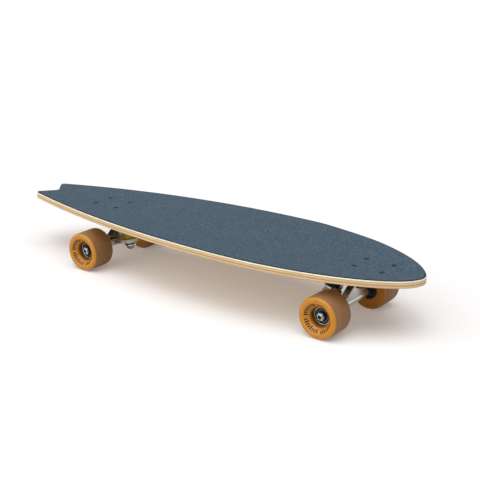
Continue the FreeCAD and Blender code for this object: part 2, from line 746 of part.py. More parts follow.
def make_baseplate(end):
    """The baseplate casting: plate, pivot housing, kingpin boss and rib."""
    back = f"({end}_bolt_offset + bolt_pitch_long / 2 + plate_margin)"
    boss_x = f"({end}_ring_reach - truck_height * sin(kingpin_lean))"
    front = f"({boss_x} + boss_top_radius + plate_rim)"
    plate = new_body(f"{end}_plate")
    shape = new_sketch(plate, "XY_Plane", PLATE_Z)
    polygon(
        shape,
        (
            (f"-{back}", "-plate_half_width"),
            (front, "-plate_half_width"),
            (front, "plate_half_width"),
            (f"-{back}", "plate_half_width"),
        ),
    )
    pad = plate.newObject("PartDesign::Pad", f"{end}_plate_pad")
    pad.Profile = shape
    bind(pad, Length="plate_thickness")
    doc.recompute()
    upright = []
    for number, edge in enumerate(plate.Shape.Edges, start=1):
        if abs(edge.tangentAt(edge.FirstParameter).z) > math.cos(math.radians(45)):
            upright.append(f"Edge{number}")
    soften(plate, upright, "plate_corner")
    holes = new_sketch(plate, "XY_Plane", UNDER_Z)
    for along in (1, -1):
        for side in (1, -1):
            x = f"{along} * bolt_pitch_long / 2 - {end}_bolt_offset"
            circle(holes, x, f"{side} * bolt_pitch_wide / 2", "bolt_hole_dia / 2")
    through = plate.newObject("PartDesign::Pocket", f"{end}_plate_holes")
    through.Profile = holes
    through.Type = "ThroughAll"
    doc.recompute()
    wall = f"({CUP_RADIUS} + housing_wall)"
    house = taper(f"{end}_house", wall, f"{wall} + housing_spread", CUP_DEPTH)
    on_steering(end, house, cup_mouth(end))
    post = taper(f"{end}_post", wall, f"{wall} + housing_spread", "truck_height / 2")
    cup_x = f"{end}_ring_reach - {cup_mouth(end)} * cos(steer_angle) - {CUP_RADIUS} / 2"
    place(post, cup_x, "0", f"{UNDER_Z} - truck_height / 2")
    housing = joined(f"{end}_housing", house, post)
    trim = rod(f"{end}_mouth_trim", "truck_height", "truck_height")
    on_steering(end, trim, f"{cup_mouth(end)} - truck_height")
    mouth = without(f"{end}_mouth", housing, trim)
    boss = taper(f"{end}_boss", "boss_radius", "boss_top_radius", "boss_length")
    on_kingpin(end, boss, BOSS_AT)
    rib = block(f"{end}_rib", f"{back} - plate_margin", "plate_rib_half * 2", "plate_rib_drop * 2")
    place(rib, f"plate_margin - {back}", "-plate_rib_half", f"{PLATE_Z} - plate_rib_drop")
    whole = joined(f"{end}_plate_whole", plate, mouth, boss, rib)
    over = block(f"{end}_over", "truck_height * 4", "truck_height * 4", "truck_height")
    place(over, "-truck_height * 2", "-truck_height * 2", UNDER_Z)
    seat = rod(f"{end}_cup_seat", CUP_RADIUS, f"{CUP_DEPTH} + pivot_mouth")
    on_steering(end, seat, f"{cup_mouth(end)} - pivot_mouth")
    shank = rod(f"{end}_shank", "kingpin_dia / 2 + kingpin_fit", "kingpin_head_at")
    on_kingpin(end, shank, BOARD_TOP)
    head = rod(f"{end}_head", "kingpin_head_radius + kingpin_head_gap", "truck_height / 2")
    on_kingpin(end, head, "kingpin_head_at")
    return without(f"{end}_plate_cut", whole, over, seat, shank, head)


for end, axle, inboard in ENDS:
    half_turn = "180" if inboard < 0 else "0"
    node(place(make_hanger(end), axle, angle=half_turn), f"{end}_hanger")
    node(place(make_baseplate(end), axle, angle=half_turn), f"{end}_baseplate")
    ring_x = f"{axle} + {inboard} * {end}_ring_reach"
    lean = f"-{inboard} * kingpin_lean"

    # Bushings, cup washers, kingpin and its nut stand on the ring centre
    middle = f"{FLOOR_UP} + boardside_height / 2"
    bore = "kingpin_dia / 2 + bushing_bore_gap"
    waist = "boardside_radius - boardside_waist"
    boardside = turned(
        f"{end}_boardside",
        "XZ_Plane",
        (
            (bore, FLOOR_UP),
            (waist, FLOOR_UP),
            ("boardside_radius", f"{FLOOR_UP} + bushing_edge * 2"),
            ("boardside_radius", f"{BOARD_TOP} - bushing_edge * 2"),
            (waist, BOARD_TOP),
            (bore, BOARD_TOP),
        ),
    )
    roadside = turned(
        f"{end}_roadside",
        "XZ_Plane",
        (
            (bore, FLOOR_LOW),
            (bore, ROAD_END),
            ("roadside_tip_radius - bushing_edge", ROAD_END),
            ("roadside_tip_radius", f"{ROAD_END} + bushing_edge"),
            ("roadside_radius", f"{FLOOR_LOW} - bushing_edge"),
            ("roadside_radius - bushing_edge", FLOOR_LOW),
        ),
    )
    hole = "kingpin_dia / 2 + kingpin_fit"
    lip = "boardside_radius + cup_washer_gap"
    upper = turned(
        f"{end}_upper_washer",
        "XZ_Plane",
        (
            (hole, BOARD_TOP),
            (lip, BOARD_TOP),
            (lip, f"{BOARD_TOP} - cup_washer_lip"),
            (f"{lip} + cup_washer_thickness", f"{BOARD_TOP} - cup_washer_lip"),
            (f"{lip} + cup_washer_thickness", BOSS_AT),
            (hole, BOSS_AT),
        ),
    )
    low_lip = "roadside_tip_radius + cup_washer_gap"
    low_face = f"({ROAD_END} - cup_washer_thickness)"
    lower = turned(
        f"{end}_lower_washer",
        "XZ_Plane",
        (
            (hole, low_face),
            (f"{low_lip} + cup_washer_thickness", low_face),
            (f"{low_lip} + cup_washer_thickness", f"{ROAD_END} + cup_washer_lip / 2"),
            (low_lip, f"{ROAD_END} + cup_washer_lip / 2"),
            (low_lip, ROAD_END),
            (hole, ROAD_END),
        ),
    )
    kingpin = turned(
        f"{end}_king",
        "XZ_Plane",
        (
            ("0", KING_END),
            ("kingpin_dia / 2 - axle_chamfer", KING_END),
            ("kingpin_dia / 2", f"{KING_END} + axle_chamfer"),
            ("kingpin_dia / 2", "kingpin_head_at"),
            ("kingpin_head_radius", "kingpin_head_at"),
            ("kingpin_head_radius", "kingpin_head_at + kingpin_head_height"),
            ("0", "kingpin_head_at + kingpin_head_height"),
        ),
    )
    king_nut = turned_nut(
        f"{end}_king_nut", "XY_Plane", "kingpin_nut_flats", "kingpin_nut_height", hole
    )
    king_nut_down = doc.addObject("Part::Mirroring", f"{end}_king_nut_down")
    king_nut_down.Source = king_nut
    king_nut_down.Base = ORIGIN
    king_nut_down.Normal = UP
    doc.recompute()
    nut_group = group(f"{end}_king_nut_set", (king_nut_down, "0", "0", low_face))
    standing = (
        (boardside, "boardside_bushing"),
        (roadside, "roadside_bushing"),
        (upper, "boardside_washer"),
        (lower, "roadside_washer"),
        (kingpin, "kingpin"),
        (nut_group, "kingpin_nut"),
    )
    for thing, label in standing:
        node(place(thing, ring_x, "0", RING_Z, ACROSS, lean), f"{end}_{label}")

    # Pivot cup round the pivot nose, along the steering line
    cup_inner = "pivot_radius + pivot_clearance"
    cup_foot = f"({cup_mouth(end)} + {CUP_DEPTH})"
    cup = turned(
        f"{end}_cup",
        "XZ_Plane",
        (
            (CUP_RADIUS, cup_mouth(end)),
            (CUP_RADIUS, cup_foot),
            ("0", cup_foot),
            ("0", f"{cup_foot} - cup_floor"),
            (cup_inner, f"{cup_foot} - cup_floor"),
            (cup_inner, cup_mouth(end)),
        ),
    )
    turn = f"{inboard} * (steer_angle - 90)"
    node(place(cup, ring_x, "0", RING_Z, ACROSS, turn), f"{end}_pivot_cup")

    # Axle with its nuts, washers, spacers and the rings that stand still on it
    rod_radius = "axle_dia / 2"
    axle_rod = turned(
        f"{end}_axle_rod",
        "XY_Plane",
        (
            ("0", f"-{AXLE_HALF}"),
            (f"{rod_radius} - axle_chamfer", f"-{AXLE_HALF}"),
            (rod_radius, f"axle_chamfer - {AXLE_HALF}"),
            (rod_radius, f"{AXLE_HALF} - axle_chamfer"),
            (f"{rod_radius} - axle_chamfer", AXLE_HALF),
            ("0", AXLE_HALF),
        ),
    )
    fit = f"{rod_radius} + axle_fit"
    washers = []
    spacers = []
    rings = []
    races = []
    for label, side in SIDES:
        for face in (f"{SHOULDER_Y}", f"({NUT_Y} - speed_washer_thickness)"):
            start = f"{side} * {face}"
            stop = f"{side} * ({face} + speed_washer_thickness)"
            washers.append(
                ((fit, start), ("speed_washer_radius", start), ("speed_washer_radius", stop), (fit, stop))
            )
        start = f"{side} * ({HUB_Y} - bearing_gap / 2)"
        stop = f"{side} * ({HUB_Y} + bearing_gap / 2)"
        spacers.append(((fit, start), ("spacer_radius", start), ("spacer_radius", stop), (fit, stop)))
        for row in (1, -1):
            centre = f"{side} * {HUB_Y} + {row} * {ROW_Y}"
            start = f"{centre} - bearing_width / 2"
            stop = f"{centre} + bearing_width / 2"
            rings.append(
                ((fit, start), ("inner_ring_radius", start), ("inner_ring_radius", stop), (fit, stop))
            )
            races.append(("ball_pitch_radius", centre, "ball_radius + ball_gap"))
    washer_set = turned(f"{end}_washer_set", "XY_Plane", *washers)
    spacer_set = turned(f"{end}_spacer_set", "XY_Plane", *spacers)
    ring_set = groove_rings(turned(f"{end}_ring_set", "XY_Plane", *rings), "XY_Plane", races)
    axle_nut = turned_nut(f"{end}_axle_nut", "XZ_Plane", "axle_nut_flats", "axle_nut_height", fit)
    nut_back = doc.addObject("Part::Mirroring", f"{end}_axle_nut_back")
    nut_back.Source = axle_nut
    nut_back.Base = ORIGIN
    nut_back.Normal = ACROSS
    doc.recompute()
    low_y = axle_nut.Shape.BoundBox.YMin
    right_nut, left_nut = (axle_nut, nut_back) if low_y < -1 else (nut_back, axle_nut)
    nut_set = group(
        f"{end}_nut_set", (left_nut, "0", NUT_Y, "0"), (right_nut, "0", f"-{NUT_Y}", "0")
    )
    on_axle = (
        (axle_rod, "axle"),
        (washer_set, "speed_washers"),
        (spacer_set, "bearing_spacers"),
        (ring_set, "bearing_inner_rings"),
        (nut_set, "axle_nuts"),
    )
    for thing, label in on_axle:
        node(place(thing, axle, "0", AXLE_Z), f"{end}_{label}")

# Bearing balls and crown cage, made once about the wheel's own axis
ball = bind(doc.addObject("Part::Sphere", "ball_master"), Radius="ball_radius")
ball_row = []
pockets = []
for step in range(int(value("ball_count"))):
    turn = f"({step} + ball_start) * 360 / ball_count"
    x = f"ball_pitch_radius * cos({turn})"
    z = f"ball_pitch_radius * sin({turn})"
    ball_row.append((ball, x, "0", z))
    pocket = bind(doc.addObject("Part::Sphere", f"pocket_{step}"), Radius="ball_radius + ball_gap")
    pockets.append(place(pocket, x, "0", z, FreeCAD.Vector(1, 0, 0), "90"))
balls = group("ball_row", *ball_row)
crown = turned(
    "cage_ring",
    "XY_Plane",
    (
        ("cage_inner_radius", "-cage_open_side"),
        ("cage_outer_radius", "-cage_open_side"),
        ("cage_outer_radius", "cage_closed_side"),
        ("cage_inner_radius", "cage_closed_side"),
    ),
)
cage = without("cage_cut", crown, *pockets)

for end, axle, inboard in ENDS:
    for label, side in SIDES:
        name = f"{end}_{label}"
        half_turn = "0" if side > 0 else "180"
        tyre = turned(
            f"{name}_tyre",
            "XY_Plane",
            (
                ("core_radius", f"-{BLOCK_HALF} - core_overhang"),
                ("inner_mouth_radius", "-wheel_inner_set"),
                ("wheel_dia / 2", "-wheel_inner_set"),
                ("wheel_dia / 2", "wheel_outer_set"),
                ("dish_mouth_radius", "wheel_outer_set"),
                ("core_radius", f"{BLOCK_HALF} + core_overhang"),
            ),
        )
        lips = rim(tyre.Shape, ACROSS, "wheel_dia / 2", "wheel_outer_set")
        lips += rim(tyre.Shape, ACROSS, "wheel_dia / 2", "-wheel_inner_set")
        soften(tyre, lips, "wheel_lip_round")
        mouths = rim(tyre.Shape, ACROSS, "dish_mouth_radius", "wheel_outer_set")
        mouths += rim(tyre.Shape, ACROSS, "inner_mouth_radius", "-wheel_inner_set")
        soften(tyre, mouths, "dish_mouth_round")
        end_y = f"({BLOCK_HALF} + core_overhang)"
        core = turned(
            f"{name}_hub",
            "XY_Plane",
            (
                ("bearing_radius", f"-{end_y}"),
                ("core_rim_radius", f"-{end_y}"),
                ("core_radius", f"-{end_y}"),
                ("core_radius", end_y),
                ("core_rim_radius", end_y),
                ("bearing_radius", end_y),
                ("bearing_radius", "bearing_gap / 2"),
                ("core_step_radius", "bearing_gap / 2"),
                ("core_step_radius", "-bearing_gap / 2"),
                ("bearing_radius", "-bearing_gap / 2"),
            ),
        )
        outer = []
        races = []
        shields = []
        for row in (1, -1):
            centre = f"{row} * {ROW_Y}"
            low = f"{centre} - bearing_width / 2"
            high = f"{centre} + bearing_width / 2"
            step = "(shield_set + shield_thickness)"
            outer.append(
                (
                    ("shield_seat_radius", low),
                    ("bearing_radius", low),
                    ("bearing_radius", high),
                    ("shield_seat_radius", high),
                    ("shield_seat_radius", f"{high} - {step}"),
                    ("outer_ring_bore", f"{high} - {step}"),
                    ("outer_ring_bore", f"{low} + {step}"),
                    ("shield_seat_radius", f"{low} + {step}"),
                )
            )
            races.append(("ball_pitch_radius", centre, "ball_radius + ball_gap"))
            for start in (f"{low} + shield_set", f"{high} - {step}"):
                stop = f"{start} + shield_thickness"
                shields.append(
                    (
                        ("shield_bore", start),
                        ("shield_seat_radius", start),
                        ("shield_seat_radius", stop),
                        ("shield_bore", stop),
                    )
                )
        outer_set = turned(f"{name}_outer_set", "XY_Plane", *outer)
        groove_rings(outer_set, "XY_Plane", races)
        shield_set = turned(f"{name}_shield_set", "XY_Plane", *shields)
        ball_set = group(
            f"{name}_ball_set", (balls, "0", ROW_Y, "0"), (balls, "0", f"-{ROW_Y}", "0")
        )
        cage_set = group(
            f"{name}_cage_set", (cage, "0", ROW_Y, "0"), (cage, "0", f"-{ROW_Y}", "0")
        )
        pieces = (
            (tyre, "wheel"),
            (core, "wheel_core"),
            (outer_set, "bearing_outer_rings"),
            (shield_set, "bearing_shields"),
            (ball_set, "bearing_balls"),
            (cage_set, "bearing_cages"),
        )
        for thing, label_end in pieces:
            hub = f"{side} * {HUB_Y}"
            node(place(thing, axle, hub, AXLE_Z, UP, half_turn), f"{name}_{label_end}")

# Recompute, look for faults, and write one file for each sub-part
doc.recompute()
faults = []
for thing in doc.Objects:
    if "Invalid" in thing.State or "Error" in thing.State:
        faults.append(f"{thing.Name}: {thing.State}")
for thing in exported:
    shape = thing.Shape
    if shape.isNull() or not shape.isValid() or not shape.Solids:
        faults.append(f"{thing.Label}: bad shape")
if faults:
    raise RuntimeError("; ".join(faults))
os.makedirs("parts", exist_ok=True)
for thing in exported:
    thing.Shape.exportStep(f"parts/{thing.Label}.step")
print(f"{len(exported)} sub-parts written")
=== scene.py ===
import logging
import math
from collections.abc import Callable, Sequence
from dataclasses import dataclass, field, replace
from enum import Enum

import bpy
from mathutils import Matrix, Vector


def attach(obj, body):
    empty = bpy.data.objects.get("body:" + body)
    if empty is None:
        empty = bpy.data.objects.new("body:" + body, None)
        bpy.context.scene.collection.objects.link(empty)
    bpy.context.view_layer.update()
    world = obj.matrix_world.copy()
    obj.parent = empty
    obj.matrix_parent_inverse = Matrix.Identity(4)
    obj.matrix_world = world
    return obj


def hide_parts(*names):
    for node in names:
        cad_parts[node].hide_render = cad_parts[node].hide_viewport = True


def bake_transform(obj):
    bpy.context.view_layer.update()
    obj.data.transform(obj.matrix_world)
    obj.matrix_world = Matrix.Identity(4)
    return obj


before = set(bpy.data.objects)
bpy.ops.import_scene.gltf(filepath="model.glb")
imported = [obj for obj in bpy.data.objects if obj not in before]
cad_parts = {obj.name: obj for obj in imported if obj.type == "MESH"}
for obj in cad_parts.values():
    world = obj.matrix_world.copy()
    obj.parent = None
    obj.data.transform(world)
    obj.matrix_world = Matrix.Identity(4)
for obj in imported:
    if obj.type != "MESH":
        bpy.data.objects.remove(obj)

LOG = logging.getLogger("longboard")
MM = 0.001
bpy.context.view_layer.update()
# Places closer than this are taken as one, and points closer than the weld are joined.
NEAR = 0.01 * MM
WELD = 0.001 * MM
# Faces that meet at less than this are shaded as one curve.
SMOOTH_UNDER = math.radians(40)
# The span that holds most of a noise texture's values.
NOISE_SPAN = {"From Min": 0.3, "From Max": 0.7}

Tree = bpy.types.NodeTree
Node = bpy.types.Node
Socket = bpy.types.NodeSocket
Material = bpy.types.Material
Piece = bpy.types.Object
Feeds = dict[int | str, object]
Spots = list[Vector]


class End(Enum):
    """The two trucks, by the word that starts their nodes' names."""

    FRONT = "front"
    REAR = "rear"


class Side(Enum):
    """Left and right of someone facing the nose, by the word in the nodes' names."""

    LEFT = "left"
    RIGHT = "right"


class Pick(Enum):
    """What is picked on a mesh, with Blender's word for it."""

    POINTS = "VERT"
    EDGES = "EDGE"
    FACES = "FACE"


def linear(code: str) -> tuple[float, float, float, float]:
    """Turn an sRGB hex colour into linear light.

    Args:
        code: six hex digits after a hash.

    Returns:
        Red, green, blue and a full alpha.
    """
    parts = [int(code[spot:spot + 2], 16) / 255 for spot in (1, 3, 5)]
    light = [p / 12.92 if p <= 0.04045 else ((p + 0.055) / 1.055) ** 2.4 for p in parts]
    return (light[0], light[1], light[2], 1.0)


def feed(tree: Tree, node: Node, feeds: Feeds) -> None:
    """Feed a node's inputs.

    Args:
        tree: the material's nodes.
        node: the node that is fed.
        feeds: for each input a value, a socket, or a node that gives its first live output.
    """
    for key, source in feeds.items():
        if isinstance(key, int):
            target = node.inputs[key]
        else:
            target = next(socket for socket in node.inputs if socket.enabled and socket.name == key)
        if isinstance(source, Node):
            source = next(socket for socket in source.outputs if socket.enabled)
        if isinstance(source, Socket):
            tree.links.new(source, target)
        else:
            target.default_value = source


def add(tree: Tree, kind: str, feeds: Feeds, **settings: object) -> Node:
    """Add a node with its settings, and feed its inputs.

    Args:
        tree: the material's nodes.
        kind: the node's type name, after the word that all of them start with.
        feeds: what goes into each input.
        settings: the node's own properties.

    Returns:
        The new node.
    """
    node = tree.nodes.new(f"ShaderNode{kind}")
    for name, setting in settings.items():
        setattr(node, name, setting)
    feed(tree, node, feeds)
    return node


@dataclass(frozen=True)
class Board:
    """The deck and its grip sheet, with the sizes that their patterns follow."""

    under: float = 95.7 * MM
    thickness: float = 12.7 * MM
    flat_half: float = 29 * MM
    wing_slope: float = math.tan(math.radians(3.7))
    widest: float = 105 * MM
    sheet_half_wide: float = 126.2 * MM
    sheet_side_radius: float = 1694 * MM
    sheet_nose_long: float = 331.4 * MM
    nose_taper: float = 1.17
    bolt_groups: tuple[float, float] = (343 * MM, -257 * MM)
    bolt_half_long: float = 26.99 * MM
    bolt_half_wide: float = 20.64 * MM
    bolt_head: float = 4.7 * MM

    def dress(self) -> None:
        """Finish the deck in plies and the sheet in grit."""
        dress("deck", MAPLE.make())
        dress("grip_tape", GRIP.make())


BOARD = Board()


@dataclass(frozen=True)
class Finish:
    """A surface: its name, main colour and how it takes light."""

    label: str
    colour: str
    roughness: float
    metallic: float = 0.0
    specular: float = 0.5
    # Light spreads inside a clear surface: how much, how deep, and how far for red, green and blue.
    clearness: float = 0.0
    light_depth: float = 50 * MM
    light_reach: tuple[float, float, float] = (1.0, 0.2, 0.1)

    def make(self, centre: Sequence[float] = (0.0, 0.0, 0.0), turn: float = 0.0) -> Material:
        """Make the material, with its pattern centred on a point.

        Args:
            centre: the pattern's middle, in the board's frame.
            turn: a turn of the pattern about the upright, in radians.

        Returns:
            The new material.
        """
        material = bpy.data.materials.new(self.label)
        material.use_nodes = True
        tree = material.node_tree
        tree.nodes.clear()
        shader = add(tree, "BsdfPrincipled", {
            "Base Color": linear(self.colour),
            "Roughness": self.roughness,
            "Metallic": self.metallic,
            "Specular IOR Level": self.specular,
            "Subsurface Weight": self.clearness,
            "Subsurface Scale": self.light_depth,
            "Subsurface Radius": self.light_reach,
        })
        add(tree, "OutputMaterial", {"Surface": shader})
        where = add(tree, "TexCoord", {})
        spot = add(tree, "Mapping", {
            "Vector": where.outputs["Object"],
            "Location": -(Matrix.Rotation(turn, 3, "Z") @ Vector(centre)),
            "Rotation": (0.0, 0.0, turn),
        })
        self.detail(tree, shader, spot.outputs["Vector"])
        return material

    def detail(self, tree: Tree, shader: Node, spot: Socket) -> None:
        """Add the pattern of the surface; a plain finish has none.

        Args:
            tree: the material's nodes.
            shader: the surface shader.
            spot: the place on the piece, in metres.
        """


@dataclass(frozen=True)
class GrainedFinish(Finish):
    """A surface with a fine grain that varies its gloss and relief."""

    grain: float = 0.8 * MM
    relief: float = 0.02 * MM
    gloss_spread: float = 0.08
    stain: float = 0.07
    grains_in_cloud: float = 14
    smoothest: float = 0.02

    def detail(self, tree: Tree, shader: Node, spot: Socket) -> None:
        """Cloud the gloss and the colour, and raise the grain.

        Args:
            tree: the material's nodes.
            shader: the surface shader.
            spot: the place on the piece, in metres.
        """
        grain = add(tree, "TexNoise", {
            "Vector": spot, "Scale": 1 / self.grain, "Detail": 4.0, "Roughness": 0.6,
        })
        cloud = add(tree, "TexNoise", {
            "Vector": spot, "Scale": 1 / (self.grain * self.grains_in_cloud), "Detail": 3.0,
        })
        gloss = add(tree, "MapRange", {
            "Value": cloud, **NOISE_SPAN,
            "To Min": max(self.smoothest, self.roughness - self.gloss_spread),
            "To Max": self.roughness + self.gloss_spread,
        })
        shade = add(tree, "MapRange", {
            "Value": cloud, **NOISE_SPAN, "To Min": 1 - self.stain, "To Max": 1 + self.stain,
        })
        colour = add(tree, "VectorMath", {0: linear(self.colour)[:3], "Scale": shade}, operation="SCALE")
        bump = add(tree, "Bump", {"Height": grain, "Distance": self.relief, "Strength": 1.0})
        feed(tree, shader, {"Base Color": colour, "Roughness": gloss, "Normal": bump})


@dataclass(frozen=True)
class MetalFinish(GrainedFinish):
    """Bare, plated or thinly lacquered metal, with the same fine grain."""

    metallic: float = 1.0


@dataclass(frozen=True)
class PlyWood(Finish):
    """Rotary-cut maple plies, sanded and sealed: pale bands, dark glue lines, long grain."""

    # Real plies are 1.4 mm; they are drawn as four broader bands so that they show in the picture.
    bands: tuple[tuple[float, str], ...] = (
        (0.0, "#dcb27f"), (0.26, "#f6d2a0"), (0.4, "#bb8c5b"), (0.5, "#e6c28e"), (0.66, "#f4d5a2"),
        (0.75, "#d4a86f"), (0.84, "#fff3cc"), (0.95, "#fffae6"),
    )
    face_streak: float = 166.7 * MM
    face_line: float = 2.5 * MM
    edge_streak: float = 40 * MM
    edge_line: float = 2 * MM
    grain_pale: float = 1.05
    grain_dark: float = 0.9
    grain_relief: float = 0.05 * MM
    gloss_gain: float = 0.06
    gloss_loss: float = 0.1
    rim_colour: str = "#30373c"
    rim_shade: float = 0.95
    # How far a surface looks up, where one is level: on the faces, and over the dark of the rim.
    face_level: float = 0.8
    rim_levels: tuple[float, float] = (0.8, 0.95)
    board: Board = BOARD

    def detail(self, tree: Tree, shader: Node, spot: Socket) -> None:
        """Lay the plies parallel to the concave, with long grain on the faces and the edge.

        Args:
            tree: the material's nodes.
            shader: the surface shader.
            spot: the place on the deck, in metres.
        """
        shape = add(tree, "NewGeometry", {})
        facing = add(tree, "SeparateXYZ", {"Vector": shape.outputs["Normal"]})
        grain = self.grain(tree, spot, facing.outputs["Z"])
        tone = add(tree, "MapRange", {
            "Value": grain, **NOISE_SPAN, "To Min": self.grain_pale, "To Max": self.grain_dark,
        })
        colour = add(tree, "VectorMath", {0: self.plies(tree, spot), "Scale": tone}, operation="SCALE")
        # The narrow margin round the sheet was darkened when the sheet was filed flush.
        upward = add(tree, "MapRange", {
            "Value": facing.outputs["Z"],
            "From Min": self.rim_levels[0], "From Max": self.rim_levels[1], "To Max": self.rim_shade,
        })
        layers = {"Factor": upward, "A": colour, "B": linear(self.rim_colour)}
        filed = add(tree, "Mix", layers, data_type="RGBA")
        gloss = add(tree, "MapRange", {
            "Value": grain, **NOISE_SPAN,
            "To Min": self.roughness - self.gloss_gain, "To Max": self.roughness + self.gloss_loss,
        })
        bump = add(tree, "Bump", {"Height": grain, "Distance": self.grain_relief, "Strength": 0.5})
        feed(tree, shader, {"Base Color": filed, "Roughness": gloss, "Normal": bump})

    def plies(self, tree: Tree, spot: Socket) -> Node:
        """Colour the plies by their height in the board.

        Args:
            tree: the material's nodes.
            spot: the place on the deck, in metres.

        Returns:
            The ramp of their colours.
        """
        axes = add(tree, "SeparateXYZ", {"Vector": spot})
        aside = add(tree, "Math", {0: axes.outputs["Y"]}, operation="ABSOLUTE")
        past_flat = add(tree, "Math", {0: aside, 1: self.board.flat_half}, operation="SUBTRACT")
        wing = add(tree, "Math", {0: past_flat, 1: 0.0}, operation="MAXIMUM")
        under = add(tree, "Math", {
            0: wing, 1: self.board.wing_slope, 2: self.board.under,
        }, operation="MULTIPLY_ADD")
        height = add(tree, "Math", {0: axes.outputs["Z"], 1: under}, operation="SUBTRACT")
        share = add(tree, "Math", {0: height, 1: 1 / self.board.thickness}, operation="MULTIPLY")
        ramp = add(tree, "ValToRGB", {"Fac": share})
        stops = ramp.color_ramp.elements
        stops.remove(stops[1])
        stops[0].color = linear(self.bands[0][1])
        for level, code in self.bands[1:]:
            stops.new(level).color = linear(code)
        return ramp

    def grain(self, tree: Tree, spot: Socket, upward: Socket) -> Node:
        """Draw the grain: long streaks on the faces, finer ones round the edge.

        Args:
            tree: the material's nodes.
            spot: the place on the deck, in metres.
            upward: how far the surface looks up.

        Returns:
            The grain, a noise.
        """
        along = add(tree, "Mapping", {
            "Vector": spot, "Scale": (1 / self.face_streak, 1 / self.face_line, 0.0),
        })
        face = add(tree, "TexNoise", {"Vector": along, "Scale": 1.0, "Detail": 5.0, "Distortion": 0.4})
        around = add(tree, "Mapping", {
            "Vector": spot, "Scale": (1 / self.edge_streak, 1 / self.edge_streak, 1 / self.edge_line),
        })
        edge = add(tree, "TexNoise", {"Vector": around, "Scale": 1.0, "Detail": 3.0})
        level = add(tree, "Math", {0: upward}, operation="ABSOLUTE")
        flat = add(tree, "Math", {0: level, 1: self.face_level}, operation="GREATER_THAN")
        return add(tree, "Mix", {"Factor": flat, "A": edge, "B": face})


